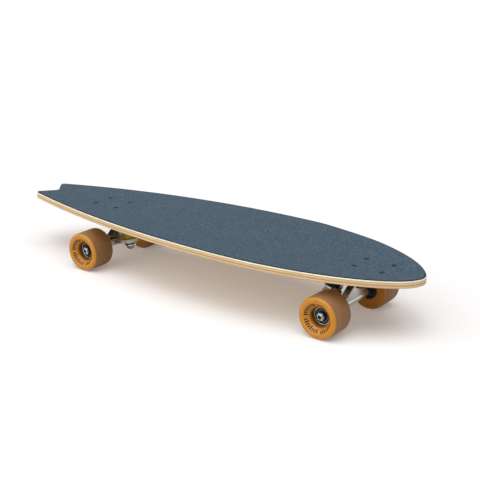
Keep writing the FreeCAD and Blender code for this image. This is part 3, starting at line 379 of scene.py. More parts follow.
@dataclass(frozen=True)
class GripSheet(Finish):
    """Abrasive sheet: mineral grit bonded to a dyed backing, dull and speckled."""

    # Real grit is about 0.3 mm; it is drawn at 1.6 mm so that it shows in the picture.
    grit: float = 1.6 * MM
    grit_relief: float = 0.3 * MM
    dark_colour: str = "#34414c"
    dark_grains: float = 0.35
    dark_shade: float = 0.65
    pale_colour: str = "#74818b"
    pale_grains: float = 0.3
    pale_shade: float = 0.6
    cloud: float = 45 * MM
    cloud_dark: float = 0.96
    cloud_pale: float = 1.03
    edge_colour: str = "#272d31"
    filed: float = 2.6 * MM
    filed_shade: float = 0.9
    rubbed: float = 0.8 * MM
    rubbed_shade: float = 0.75
    board: Board = BOARD

    def detail(self, tree: Tree, shader: Node, spot: Socket) -> None:
        """Speckle the grit, and darken the sheet's filed edge and the rims of its holes.

        Args:
            tree: the material's nodes.
            shader: the surface shader.
            spot: the place on the sheet, in metres.
        """
        grit = add(tree, "TexVoronoi", {"Vector": spot, "Scale": 1 / self.grit})
        grain = add(tree, "SeparateXYZ", {"Vector": grit.outputs["Color"]})
        dark = add(tree, "MapRange", {
            "Value": grain.outputs["X"],
            "From Min": self.dark_grains, "From Max": 0.0, "To Max": self.dark_shade,
        })
        pale = add(tree, "MapRange", {
            "Value": grain.outputs["X"], "From Min": 1 - self.pale_grains, "To Max": self.pale_shade,
        })
        fleck = linear(self.colour)
        for share, code in ((dark, self.dark_colour), (pale, self.pale_colour)):
            fleck = add(tree, "Mix", {"Factor": share, "A": fleck, "B": linear(code)}, data_type="RGBA")
        cloud = add(tree, "TexNoise", {"Vector": spot, "Scale": 1 / self.cloud, "Detail": 3.0})
        shade = add(tree, "MapRange", {
            "Value": cloud, **NOISE_SPAN, "To Min": self.cloud_dark, "To Max": self.cloud_pale,
        })
        toned = add(tree, "VectorMath", {0: fleck, "Scale": shade}, operation="SCALE")
        worn = self.edge_mask(tree, spot)
        for group in self.board.bolt_groups:
            holes = self.hole_mask(tree, spot, group)
            worn = add(tree, "Math", {0: worn, 1: holes}, operation="MAXIMUM")
        layers = {"Factor": worn, "A": toned, "B": linear(self.edge_colour)}
        colour = add(tree, "Mix", layers, data_type="RGBA")
        bump = add(tree, "Bump", {
            "Height": grit.outputs["Distance"], "Distance": self.grit_relief, "Strength": 0.7,
        })
        feed(tree, shader, {"Base Color": colour, "Normal": bump})

    def hole_mask(self, tree: Tree, spot: Socket, group: float) -> Node:
        """Mark the places beside the bolt heads of a truck, where the sheet is rubbed.

        Args:
            tree: the material's nodes.
            spot: the place on the sheet, in metres.
            group: station of the middle of the four bolts.

        Returns:
            The mask.
        """
        board = self.board
        moved = add(tree, "VectorMath", {0: spot, 1: (group, 0.0, 0.0)}, operation="SUBTRACT")
        folded = add(tree, "VectorMath", {0: moved}, operation="ABSOLUTE")
        level = add(tree, "VectorMath", {0: folded, 1: (1.0, 1.0, 0.0)}, operation="MULTIPLY")
        away = add(tree, "VectorMath", {
            0: level, 1: (board.bolt_half_long, board.bolt_half_wide, 0.0),
        }, operation="DISTANCE")
        return add(tree, "MapRange", {
            "Value": away, "From Min": board.bolt_head + self.rubbed, "From Max": board.bolt_head,
            "To Max": self.rubbed_shade,
        })

    def edge_mask(self, tree: Tree, spot: Socket) -> Node:
        """Mark the places near the sheet's outline.

        Args:
            tree: the material's nodes.
            spot: the place on the sheet, in metres.

        Returns:
            The mask.
        """
        board = self.board
        axes = add(tree, "SeparateXYZ", {"Vector": spot})
        aside = add(tree, "Math", {0: axes.outputs["Y"]}, operation="ABSOLUTE")
        ahead = add(tree, "Math", {0: axes.outputs["X"], 1: board.widest}, operation="SUBTRACT")
        # Behind the widest place each side is a long arc.
        half = add(tree, "CombineXYZ", {"X": ahead, "Y": aside})
        arc = add(tree, "VectorMath", {
            0: half, 1: (0.0, board.sheet_half_wide - board.sheet_side_radius, 0.0),
        }, operation="DISTANCE")
        side_gap = add(tree, "Math", {0: board.sheet_side_radius, 1: arc}, operation="SUBTRACT")
        in_nose = add(tree, "Math", {0: ahead, 1: 0.0}, operation="GREATER_THAN")
        gap = add(tree, "Mix", {"Factor": in_nose, "A": side_gap, "B": self.nose_gap(tree, ahead, aside)})
        return add(tree, "MapRange", {
            "Value": gap, "From Min": self.filed, "From Max": self.filed / 2, "To Max": self.filed_shade,
        })

    def nose_gap(self, tree: Tree, ahead: Node, aside: Node) -> Node:
        """Measure the gap to the nose, a pointed oval: what is left of one, over its slope.

        Args:
            tree: the material's nodes.
            ahead: the distance ahead of the widest place.
            aside: the distance from the board's middle line.

        Returns:
            The gap.
        """
        board = self.board
        left = 1.0
        slopes = []
        for reach, half, power in (
            (ahead, board.sheet_nose_long, 2), (aside, board.sheet_half_wide, 2 / board.nose_taper),
        ):
            share = add(tree, "Math", {0: reach, 1: 1 / half}, operation="MULTIPLY")
            part = add(tree, "Math", {0: share, 1: power}, operation="POWER")
            left = add(tree, "Math", {0: left, 1: part}, operation="SUBTRACT")
            bent = add(tree, "Math", {0: share, 1: power - 1}, operation="POWER")
            slopes.append(add(tree, "Math", {0: bent, 1: power / half}, operation="MULTIPLY"))
        slope = add(tree, "CombineXYZ", {"X": slopes[0], "Y": slopes[1]})
        steep = add(tree, "VectorMath", {0: slope}, operation="LENGTH")
        return add(tree, "Math", {0: left, 1: steep}, operation="DIVIDE")


@dataclass(frozen=True)
class WheelUrethane(Finish):
    """Cast amber polyurethane: slightly clear, glossy in the dish, dulled on the tread."""

    # The tread's browner tint is partly dust and wear, partly painted shade from the deck above.
    tread_wear_and_shade_colour: str = "#976f45"
    tread_roughness: float = 0.62
    wear_and_shade_low: float = 35.9 * MM
    wear_and_shade_high: float = 37.3 * MM
    scuff: float = 1.2 * MM
    scuff_relief: float = 0.12 * MM
    # Painted shade: the dish darkens towards the hub, deep under its walls.
    dish_shade_colour: str = "#7d4a07"
    dish_pale: float = 20.5 * MM
    dish_dark: float = 16.2 * MM
    # Painted shadow: a near-black ring in the corner at the dish's foot.
    foot_shadow_colour: str = "#1d1206"
    foot_high: float = 16.5 * MM
    foot_low: float = 15.9 * MM
    cloud: float = 12 * MM
    cloud_dark: float = 0.9
    cloud_pale: float = 1.06
    clearness: float = 0.12
    light_depth: float = 4 * MM
    light_reach: tuple[float, float, float] = (1.0, 0.45, 0.1)
    print_colour: str = "#241708"
    print_from: float = 20 * MM
    tick_low: float = 20.6 * MM
    tick_high: float = 26.4 * MM
    tick_short: float = 1.6 * MM
    tick_share: float = 0.6
    ticks: int = 36
    tall_every: int = 3
    groups: int = 4
    group_share: float = 0.84

    def detail(self, tree: Tree, shader: Node, spot: Socket) -> None:
        """Paint shade into the dish and its foot, tint the tread, and print a plain ring of ticks on the
        outer face.

        Args:
            tree: the material's nodes.
            shader: the surface shader.
            spot: the place on the wheel, in metres, with Y along the axle to the outer face.
        """
        axes = add(tree, "SeparateXYZ", {"Vector": spot})
        disc = add(tree, "CombineXYZ", {"X": axes.outputs["X"], "Z": axes.outputs["Z"]})
        out = add(tree, "VectorMath", {0: disc}, operation="LENGTH")
        # The tread: duller and scuffed from wear; its tint is partly wear, partly painted shade.
        worn = add(tree, "MapRange", {
            "Value": out, "From Min": self.wear_and_shade_low, "From Max": self.wear_and_shade_high,
        }, interpolation_type="SMOOTHSTEP")
        # Painted shade in the dish, darkest towards the hub.
        dish_shade = add(tree, "MapRange", {
            "Value": out, "From Min": self.dish_pale, "From Max": self.dish_dark,
        }, interpolation_type="SMOOTHSTEP")
        # Painted shadow at the dish's foot, round the hub.
        foot_shadow = add(tree, "MapRange", {
            "Value": out, "From Min": self.foot_high, "From Max": self.foot_low,
        })
        tint = linear(self.colour)
        for share, code in (
            (dish_shade, self.dish_shade_colour), (foot_shadow, self.foot_shadow_colour), (worn, self.tread_wear_and_shade_colour),
        ):
            tint = add(tree, "Mix", {"Factor": share, "A": tint, "B": linear(code)}, data_type="RGBA")
        cloud = add(tree, "TexNoise", {"Vector": spot, "Scale": 1 / self.cloud, "Detail": 4.0})
        shade = add(tree, "MapRange", {
            "Value": cloud, **NOISE_SPAN, "To Min": self.cloud_dark, "To Max": self.cloud_pale,
        })
        toned = add(tree, "VectorMath", {0: tint, "Scale": shade}, operation="SCALE")
        colour = add(tree, "Mix", {
            "Factor": self.tick_mask(tree, axes, out), "A": toned, "B": linear(self.print_colour),
        }, data_type="RGBA")
        gloss = add(tree, "MapRange", {
            "Value": worn, "To Min": self.roughness, "To Max": self.tread_roughness,
        })
        scuff = add(tree, "TexNoise", {"Vector": spot, "Scale": 1 / self.scuff, "Detail": 3.0})
        rub = add(tree, "Math", {0: scuff, 1: worn}, operation="MULTIPLY")
        bump = add(tree, "Bump", {"Height": rub, "Distance": self.scuff_relief, "Strength": 0.6})
        feed(tree, shader, {"Base Color": colour, "Roughness": gloss, "Normal": bump})

    def tick_mask(self, tree: Tree, axes: Node, out: Node) -> Node:
        """Mark the printed ticks of the outer face, in groups, each third one taller.

        Args:
            tree: the material's nodes.
            axes: the place on the wheel, split into its axes.
            out: the distance from the axle.

        Returns:
            The mask.
        """
        angle = add(tree, "Math", {0: axes.outputs["Z"], 1: axes.outputs["X"]}, operation="ARCTAN2")
        turns = add(tree, "Math", {0: angle, 1: 1 / math.tau, 2: 1.0}, operation="MULTIPLY_ADD")
        step = add(tree, "Math", {0: turns, 1: self.ticks}, operation="MULTIPLY")
        along = add(tree, "Math", {0: step}, operation="FRACT")
        mask = add(tree, "Math", {0: along, 1: self.tick_share}, operation="LESS_THAN")
        number = add(tree, "Math", {0: step}, operation="FLOOR")
        third = add(tree, "Math", {0: number, 1: self.tall_every}, operation="FLOORED_MODULO")
        tall = add(tree, "Math", {0: third, 1: 0.5}, operation="LESS_THAN")
        low = add(tree, "MapRange", {
            "Value": tall, "To Min": self.tick_low + self.tick_short, "To Max": self.tick_low,
        })
        sector = add(tree, "Math", {0: turns, 1: self.groups}, operation="MULTIPLY")
        within = add(tree, "Math", {0: sector}, operation="FRACT")
        for measure, test, limit in (
            (out, "GREATER_THAN", low),
            (out, "LESS_THAN", self.tick_high),
            (within, "LESS_THAN", self.group_share),
            (axes.outputs["Y"], "GREATER_THAN", self.print_from),
        ):
            part = add(tree, "Math", {0: measure, 1: limit}, operation=test)
            mask = add(tree, "Math", {0: mask, 1: part}, operation="MULTIPLY")
        return mask


@dataclass(frozen=True)
class ClearUrethane(GrainedFinish):
    """Cast bushing urethane: waxy, a little see-through, so light spreads inside it."""

    grain: float = 0.9 * MM
    clearness: float = 0.35
    light_depth: float = 5 * MM
    light_reach: tuple[float, float, float] = (1.0, 0.9, 0.2)


@dataclass(frozen=True)
class TurnedMetal(MetalFinish):
    """Machined steel rod: even in colour, with a fine thread round it and a dark cut end."""

    stain: float = 0.0
    cut_colour: str = "#1b1c1d"
    cut_at: float = 99.2 * MM
    pitch: float = 1.06 * MM
    thread_relief: float = 0.15 * MM
    # A band texture of scale one repeats every tenth of pi.
    band_repeat: float = math.pi / 10

    def detail(self, tree: Tree, shader: Node, spot: Socket) -> None:
        """Cut the thread, and darken the rod's end past a distance from the middle.

        Args:
            tree: the material's nodes.
            shader: the surface shader.
            spot: the place on the rod, in metres.
        """
        super().detail(tree, shader, spot)
        stained, grained = (shader.inputs[name].links[0].from_socket for name in ("Base Color", "Normal"))
        axes = add(tree, "SeparateXYZ", {"Vector": spot})
        aside = add(tree, "Math", {0: axes.outputs["Y"]}, operation="ABSOLUTE")
        cut = add(tree, "Math", {0: aside, 1: self.cut_at}, operation="GREATER_THAN")
        layers = {"Factor": cut, "A": stained, "B": linear(self.cut_colour)}
        colour = add(tree, "Mix", layers, data_type="RGBA")
        thread = add(tree, "TexWave", {
            "Vector": spot, "Scale": self.band_repeat / self.pitch,
        }, bands_direction="Y")
        groove = add(tree, "Bump", {
            "Height": thread.outputs["Fac"], "Distance": self.thread_relief, "Strength": 1.0,
            "Normal": grained,
        })
        feed(tree, shader, {"Base Color": colour, "Normal": groove})


# Maple veneer, sealed: pale cream bands on the edge, soft gloss.
MAPLE = PlyWood("sealed_maple_ply", "#e2c08d", 0.42, specular=0.4)
# Silicon carbide grit on slate-blue cloth: no gloss at all.
GRIP = GripSheet("slate_grip_sheet", "#4b5c6a", 0.95, specular=0.15)
# Die-cast aluminium, polished: bright, with a soft broken gloss.
CAST_ALLOY = MetalFinish("polished_cast_aluminium", "#c8c8c6", 0.22, grain=1.4 * MM, relief=0.03 * MM)
# The same alloy drawn dark gunmetal: painted shade for the baseplate under the deck, with a soft metal
# gloss.
DARK_ALLOY = MetalFinish("shaded_cast_aluminium", "#3f3f42", 0.38, grain=1.6 * MM, gloss_spread=0.06)
# Zinc-plated steel: a bright, even grey.
PLATED_STEEL = MetalFinish("plated_steel", "#b9babb", 0.26)
# Zinc under a grey passivate: duller than the bright plating.
GREY_STEEL = MetalFinish("passivated_steel", "#86878a", 0.34)
# Drawn steel rod with a rolled thread: bright, finely ribbed, dark where it was cut off.
AXLE_STEEL = TurnedMetal("axle_steel", "#c4c5c6", 0.24)
# Ground bearing steel: smooth, with a close gloss, drawn dark as painted shade deep in the hub.
BEARING_STEEL = MetalFinish(
    "ground_bearing_steel", "#505152", 0.28, grain=0.5 * MM, relief=0.01 * MM, gloss_spread=0.05
)
# The same, polished for show: the thin bright line round the hub.
BRIGHT_STEEL = replace(BEARING_STEEL, label="polished_steel", colour="#dcdee0", roughness=0.14)
# Black oxide on screws: dark, low gloss.
BLACK_OXIDE = GrainedFinish(
    "black_oxide_steel", "#101112", 0.6, specular=0.2, grain=0.5 * MM, gloss_spread=0.1
)
# Glass-filled nylon: black, satin, faintly mottled.
BLACK_NYLON = GrainedFinish(
    "black_nylon", "#0f1011", 0.42, specular=0.35, grain=0.7 * MM, relief=0.04 * MM, gloss_spread=0.1
)
# Moulded rubber: black and dull, for the bearing shields and the ring of painted shade at the core's
# inner end.
SEAL_AND_SHADE_RUBBER = GrainedFinish("black_seal_and_shade_rubber", "#111213", 0.58, specular=0.3, grain=0.6 * MM)
# Cast polyurethane: warm amber, with painted shade in the dish; the tread is duller, browner from wear
# and shade.
AMBER = WheelUrethane("amber_wheel_urethane", "#d58d1c", 0.3, specular=0.4)
# Softer cast polyurethane: a waxy yellow-green that lets some light in.
BUSHING = ClearUrethane("yellow_bushing_urethane", "#b7a51c", 0.38)
# The lower bushing is drawn in a waxy near-black.
DARK_BUSHING = ClearUrethane("dark_bushing_urethane", "#2c2b28", 0.4)


def dress(node: str, material: Material) -> None:
    """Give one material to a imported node.

    Args:
        node: the node's name.
        material: its finish.
    """
    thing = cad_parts[node]
    thing.data.materials.clear()
    thing.data.materials.append(material)
    LOG.info("dressed %s in %s", node, material.name)


def dress_all(label: str, finishes: dict[Finish, tuple[str, ...]]) -> None:
    """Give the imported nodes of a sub-assembly their finishes.

    Args:
        label: the start of the nodes' names.
        finishes: the rest of the nodes' names, by finish.
    """
    for finish, names in finishes.items():
        material = finish.make()
        for name in names:
            dress(f"{label}_{name}", material)


def is_level(spots: Spots) -> bool:
    """Tell whether some places are at one height."""
    return max(spot.z for spot in spots) - min(spot.z for spot in spots) < NEAR


class Bench:
    """The modelling bench: operators on one piece at a time."""

    @staticmethod
    def clear() -> None:
        """Leave edit mode and deselect everything."""
        if bpy.context.mode != "OBJECT":
            bpy.ops.object.mode_set(mode="OBJECT")
        bpy.ops.object.select_all(action="DESELECT")

    @staticmethod
    def pick(piece: Piece, kind: Pick, test: Callable[[Spots], bool]) -> None:
        """Select the points, edges or faces that pass a test, and open edit mode on them.

        Args:
            piece: the piece on the bench.
            kind: what is picked.
            test: takes the places of a point, of an edge's ends or of a face's corners.
        """
        bpy.ops.object.mode_set(mode="EDIT")
        bpy.ops.mesh.select_mode(type=kind.value)
        bpy.ops.mesh.select_all(action="DESELECT")
        bpy.ops.object.mode_set(mode="OBJECT")
        mesh = piece.data
        parts = {Pick.POINTS: mesh.vertices, Pick.EDGES: mesh.edges, Pick.FACES: mesh.polygons}
        for part in parts[kind]:
            corners = (part.index,) if kind is Pick.POINTS else part.vertices
            part.select = test([mesh.vertices[corner].co for corner in corners])
        bpy.ops.object.mode_set(mode="EDIT")

    @staticmethod
    def tube(name: str, outer: float, inner: float, length: float, sides: int) -> Piece:
        """Model a straight tube, standing on the origin along Z.

        Args:
            name: the piece's name.
            outer: outside radius.
            inner: bore radius.
            length: height of the tube.
            sides: faces round it.

        Returns:
            The piece, in object mode.
        """
        Bench.clear()
        bpy.ops.mesh.primitive_cylinder_add(
            vertices=sides, radius=outer, depth=length, location=(0.0, 0.0, length / 2)
        )
        piece = bpy.context.active_object
        piece.name = name
        bpy.ops.object.transform_apply(location=True, rotation=True, scale=True)
        Bench.pick(piece, Pick.FACES, is_level)
        bpy.ops.mesh.inset(thickness=outer - inner, use_individual=True)
        bpy.ops.mesh.delete(type="FACE")
        bpy.ops.object.mode_set(mode="OBJECT")
        wall_middle = (outer + inner) / 2
        Bench.pick(
            piece, Pick.EDGES,
            lambda spots: is_level(spots) and all(spot.xy.length < wall_middle for spot in spots),
        )
        bpy.ops.mesh.bridge_edge_loops()
        bpy.ops.mesh.select_all(action="SELECT")
        bpy.ops.mesh.normals_make_consistent(inside=False)
        bpy.ops.object.mode_set(mode="OBJECT")
        return piece

    @staticmethod
    def lathe(name: str, profile: tuple[tuple[float, float, float], ...], sides: int) -> Piece:
        """Turn a closed profile round Z, with its corners rounded first.

        Args:
            name: the piece's name.
            profile: radius, height and rounding of each corner.
            sides: faces round it.

        Returns:
            The piece, in object mode.
        """
        Bench.clear()
        bpy.ops.mesh.primitive_plane_add(size=MM)
        piece = bpy.context.active_object
        piece.name = name
        bpy.ops.object.mode_set(mode="EDIT")
        bpy.ops.mesh.select_mode(type="VERT")
        bpy.ops.mesh.merge(type="CENTER")
        corners = [Vector((radius, 0.0, height)) for radius, height, _ in profile]
        bpy.ops.transform.translate(value=corners[0])
        for before, after in zip(corners, corners[1:]):
            bpy.ops.mesh.extrude_vertices_move(TRANSFORM_OT_translate={"value": after - before})
        Bench.pick_at(piece, corners[0], corners[-1])
        bpy.ops.mesh.edge_face_add()
        for corner, (_, _, rounding) in zip(corners, profile):
            if rounding:
                Bench.pick_at(piece, corner)
                bpy.ops.mesh.bevel(offset=rounding, segments=7, profile=0.5, affect="VERTICES")
        bpy.ops.mesh.select_all(action="SELECT")
        bpy.ops.mesh.spin(steps=sides, angle=math.tau, center=(0.0, 0.0, 0.0), axis=(0.0, 0.0, 1.0))
        bpy.ops.mesh.select_all(action="SELECT")
        bpy.ops.mesh.remove_doubles(threshold=WELD)
        bpy.ops.mesh.normals_make_consistent(inside=False)
        bpy.ops.object.mode_set(mode="OBJECT")
        return piece

    @staticmethod
    def pick_at(piece: Piece, *places: Vector) -> None:
        """Select the points at some places, and open edit mode on them.

        Args:
            piece: the piece on the bench.
            places: where the points are.
        """
        Bench.pick(
            piece, Pick.POINTS, lambda spots: any((spots[0] - place).length < NEAR for place in places)
        )

    @staticmethod
    def slice_rings(piece: Piece, heights: list[float]) -> None:
        """Cut level rings round a piece so that it can bulge.

        Args:
            piece: the piece on the bench.
            heights: the rings' heights.
        """
        bpy.ops.object.mode_set(mode="EDIT")
        for height in heights:
            bpy.ops.mesh.select_all(action="SELECT")
            bpy.ops.mesh.bisect(plane_co=(0.0, 0.0, height), plane_no=(0.0, 0.0, 1.0))
        bpy.ops.object.mode_set(mode="OBJECT")

    @staticmethod
    def round_rim(piece: Piece, radius: float, height: float, size: float) -> None:
        """Round the rim at a radius and height.

        Args:
            piece: the piece on the bench.
            radius: the rim's radius.
            height: the rim's height.
            size: the rounding.
        """
        Bench.pick(piece, Pick.EDGES, lambda spots: all(
            abs(spot.xy.length - radius) < NEAR and abs(spot.z - height) < NEAR for spot in spots
        ))
        bpy.ops.mesh.bevel(offset=size, segments=4, profile=0.5, affect="EDGES")
        bpy.ops.object.mode_set(mode="OBJECT")

    @staticmethod
    def scale_ring(piece: Piece, height: float, factor: float, inner: float) -> None:
        """Scale the ring of points round the outside of a tube at a height.

        Args:
            piece: the piece on the bench.
            height: the ring's height.
            factor: the scale across the axis.
            inner: only points farther out than this move.
        """
        Bench.pick(piece, Pick.EDGES, lambda spots: all(
            abs(spot.z - height) < NEAR and spot.xy.length > inner for spot in spots
        ))
        bpy.ops.transform.resize(value=(factor, factor, 1.0), center_override=(0.0, 0.0, height))
        bpy.ops.object.mode_set(mode="OBJECT")

    @staticmethod
    def copy(pattern: Piece, name: str) -> Piece:
        """Copy a finished shape, mesh and all.

        Args:
            pattern: the shape, on the origin.
            name: the copy's name.

        Returns:
            The copy.
        """
        piece = pattern.copy()
        piece.data = pattern.data.copy()
        piece.name = name
        bpy.context.collection.objects.link(piece)
        return piece

    @staticmethod
    def set_down(piece: Piece, place: Matrix, material: Material) -> None:
        """Put a finished piece in its place, in its mesh, and give it its finish.

        Args:
            piece: the piece on the bench.
            place: where its own frame goes on the board.
            material: its finish.
        """
        Bench.clear()
        piece.select_set(True)
        bpy.context.view_layer.objects.active = piece
        piece.matrix_world = place
        bpy.ops.object.transform_apply(location=True, rotation=True, scale=True)
        bpy.ops.object.shade_smooth_by_angle(angle=SMOOTH_UNDER)
        piece.data.materials.clear()
        piece.data.materials.append(material)
        piece.select_set(False)
        LOG.info("made %s", piece.name)


@dataclass
class Patterns:
    """Shapes that repeat on the board, each modelled once on the origin."""

    bore: float = 5.1 * MM
    boardside_radius: float = 14.6 * MM
    boardside_height: float = 15 * MM
    roadside_radius: float = 12 * MM
    roadside_tip: float = 9.6 * MM
    roadside_swell: float = 0.3 * MM
    roadside_height: float = 7 * MM
    rim_round: float = 1.2 * MM
    bushing_sides: int = 72
    bushing_rings: int = 10
    band_outer: float = 15.4 * MM
    band_inner: float = 14.5 * MM
    band_height: float = 1.1 * MM
    band_round: float = 0.3 * MM
    # A black ring at the core's inner end: painted shade over the bearing's inner side.
    shade_ring_outer: float = 10.9 * MM
    shade_ring_inner: float = 6.6 * MM
    shade_ring_height: float = 0.6 * MM
    shade_ring_round: float = 0.2 * MM
    ring_sides: int = 96
    # Radius, place from the bearings' middle and rounding of the tyre's corners:
    # bore, inner mouth, tread, lip, foot of the printed cone, bore.
    tyre_profile: tuple[tuple[float, float, float], ...] = (
        (15.5 * MM, -12.8 * MM, 0.0),
        (18.0 * MM, -20.5 * MM, 1.6 * MM),
        (37.5 * MM, -20.5 * MM, 6.0 * MM),
        (37.5 * MM, 31.0 * MM, 6.0 * MM),
        (28.0 * MM, 31.0 * MM, 2.2 * MM),
        (18.4 * MM, 22.3 * MM, 3.0 * MM),
        (15.5 * MM, 12.8 * MM, 0.0),
    )
    tyre_sides: int = 128
    barrel: Piece = field(init=False)
    cone: Piece = field(init=False)
    tyre: Piece = field(init=False)
    band: Piece = field(init=False)
    shade_ring: Piece = field(init=False)

    def build(self) -> None:
        """Model the two bushings, and the tyre, the band and the ring of painted shade of a wheel."""
        rim = self.boardside_radius - self.rim_round
        self.barrel = self.bushing("barrel", (rim, self.boardside_radius, rim), self.boardside_height)
        middle = (self.roadside_radius + self.roadside_tip) / 2 + self.roadside_swell
        self.cone = self.bushing(
            "cone", (self.roadside_tip, middle, self.roadside_radius), self.roadside_height
        )
        self.tyre = Bench.lathe("tyre", self.tyre_profile, self.tyre_sides)
        self.band = self.ring("band", self.band_outer, self.band_inner, self.band_height, self.band_round)
        self.shade_ring = self.ring("shade_ring", self.shade_ring_outer, self.shade_ring_inner, self.shade_ring_height, self.shade_ring_round)

    def bushing(self, name: str, profile: tuple[float, float, float], height: float) -> Piece:
        """Model a bushing, with rounded rims and rings that shape its bulge.

        Args:
            name: the shape's name.
            profile: radii at the foot, the middle and the top.
            height: the bushing's height.

        Returns:
            The bushing.
        """
        foot, middle, top = profile
        widest = max(profile)
        piece = Bench.tube(name, widest, self.bore, height, self.bushing_sides)
        shares = [ring / self.bushing_rings for ring in range(self.bushing_rings + 1)]
        Bench.slice_rings(piece, [height * share for share in shares[1:-1]])
        for share in shares:
            end_radius = foot if share < 0.5 else top
            radius = middle + (end_radius - middle) * abs(1 - 2 * share) ** 2
            Bench.scale_ring(piece, height * share, radius / widest, (widest + self.bore) / 2)
        Bench.round_rim(piece, foot, 0.0, self.rim_round)
        Bench.round_rim(piece, top, height, self.rim_round)
        return piece

    def ring(self, name: str, outer: float, inner: float, height: float, rounding: float) -> Piece:
        """Model a flat ring whose upper rims are rounded.

        Args:
            name: the shape's name.
            outer: outside radius.
            inner: inside radius.
            height: the ring's height.
            rounding: the rims' rounding.

        Returns:
            The ring.
        """
        piece = Bench.tube(name, outer, inner, height, self.ring_sides)
        for radius in (outer, inner):
            Bench.round_rim(piece, radius, height, rounding)
        return piece

    def put_away(self) -> None:
        """Take the patterns off the bench."""
        for piece in (self.barrel, self.cone, self.tyre, self.band, self.shade_ring):
            bpy.data.objects.remove(piece)


@dataclass
class Truck:
    """One truck: castings, steering bushings, axle and hardware."""

    end: End
    axle_x: float
    ring_x: float
    lean: float
    ring_z: float = 39.5 * MM
    upper_seat: float = 2.5 * MM
    lower_seat: float = -1.5 * MM

    @property
    def stand(self) -> Matrix:
        """Frame of the kingpin: origin at the ring centre, Z up the pin."""
        return Matrix.Translation((self.ring_x, 0.0, self.ring_z)) @ Matrix.Rotation(self.lean, 4, "Y")

    def build(self, patterns: Patterns) -> None:
        """Seat the two bushings, above and below the hanger's ring.

        Args:
            patterns: the shapes to copy.
        """
        top = self.upper_seat + patterns.boardside_height
        self.seat(patterns.barrel, BUSHING, "boardside_bushing", self.upper_seat, top)
        low = self.lower_seat - patterns.roadside_height
        self.seat(patterns.cone, DARK_BUSHING, "roadside_bushing", self.lower_seat, low)

    def seat(self, pattern: Piece, finish: Finish, name: str, ring_end: float, board_end: float) -> None:
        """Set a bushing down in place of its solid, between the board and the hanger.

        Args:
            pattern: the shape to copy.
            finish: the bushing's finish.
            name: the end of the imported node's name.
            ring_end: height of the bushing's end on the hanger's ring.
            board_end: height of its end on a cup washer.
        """
        label = self.end.value
        node = f"{label}_{name}"
        piece = Bench.copy(pattern, f"{label}_{pattern.name}_bushing")
        material = finish.make()
        foot = min(ring_end, board_end)
        Bench.set_down(piece, self.stand @ Matrix.Translation((0.0, 0.0, foot)), material)
        dress(node, material)
        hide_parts(node)
        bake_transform(piece)

    def dress(self) -> None:
        """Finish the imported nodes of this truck."""
        dress_all(self.end.value, {
            CAST_ALLOY: ("hanger",),
            DARK_ALLOY: ("baseplate",),
            PLATED_STEEL: ("boardside_washer", "roadside_washer", "axle_nuts", "bearing_spacers"),
            GREY_STEEL: ("kingpin", "kingpin_nut"),
            AXLE_STEEL: ("axle",),
            BEARING_STEEL: ("bearing_inner_rings", "speed_washers"),
            BLACK_OXIDE: ("mounting_bolts", "mounting_nuts"),
            BLACK_NYLON: ("pivot_cup",),
        })


@dataclass
class Wheel:
    """One wheel: tyre, core and bearings."""

    end: End
    side: Side
    axle_x: float
    hub_y: float = 77.5 * MM
    axle_z: float = 37.5 * MM
    core_end: float = 12.8 * MM
    bearing_end: float = 12.05 * MM

    @property
    def label(self) -> str:
        """Start of the names of this wheel's nodes."""
        return f"{self.end.value}_{self.side.value}"

    @property
    def sign(self) -> int:
        """Sign of Y on the wheel's side."""
        return 1 if self.side is Side.LEFT else -1

    @property
    def centre(self) -> Vector:
        """Middle of the bearings."""
        return Vector((self.axle_x, self.sign * self.hub_y, self.axle_z))

    def build(self, patterns: Patterns) -> None:
        """Set down the tyre, the bright band at the core's outer end and a ring of painted shade at its
        inner end.

        Args:
            patterns: the shapes to copy.
        """
        outward = -self.sign * math.pi / 2
        facing = 0.0 if self.side is Side.LEFT else math.pi
        urethane = AMBER.make(self.centre, facing)
        tyre = Bench.copy(patterns.tyre, f"{self.label}_tyre")
        self.fit(tyre, outward, 0.0, urethane)
        dress(f"{self.label}_wheel", urethane)
        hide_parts(f"{self.label}_wheel")
        band = Bench.copy(patterns.band, f"{self.label}_core_band")
        self.fit(band, outward, self.core_end, BRIGHT_STEEL.make())
        # Painted shade: a black ring over the inner side of the bearing and core.
        shade_ring = Bench.copy(patterns.shade_ring, f"{self.label}_inner_shade_ring")
        self.fit(shade_ring, -outward, self.bearing_end, SEAL_AND_SHADE_RUBBER.make())

    def fit(self, piece: Piece, turn: float, reach: float, material: Material) -> None:
        """Set a ring down on the wheel's axis, to ride with the wheel.

        Args:
            piece: the ring, on the origin.
            turn: the turn about X that points it out of the hub.
            reach: its foot, from the middle of the bearings.
            material: its finish.
        """
        hub = Matrix.Translation(self.centre) @ Matrix.Rotation(turn, 4, "X")
        Bench.set_down(piece, hub @ Matrix.Translation((0.0, 0.0, reach)), material)
        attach(piece, f"{self.label}_wheel_set")

    def dress(self) -> None:
        """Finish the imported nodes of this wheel."""
        dress_all(self.label, {
            BLACK_NYLON: ("wheel_core", "bearing_cages"),
            BEARING_STEEL: ("bearing_outer_rings", "bearing_balls"),
            SEAL_AND_SHADE_RUBBER: ("bearing_shields",),
        })


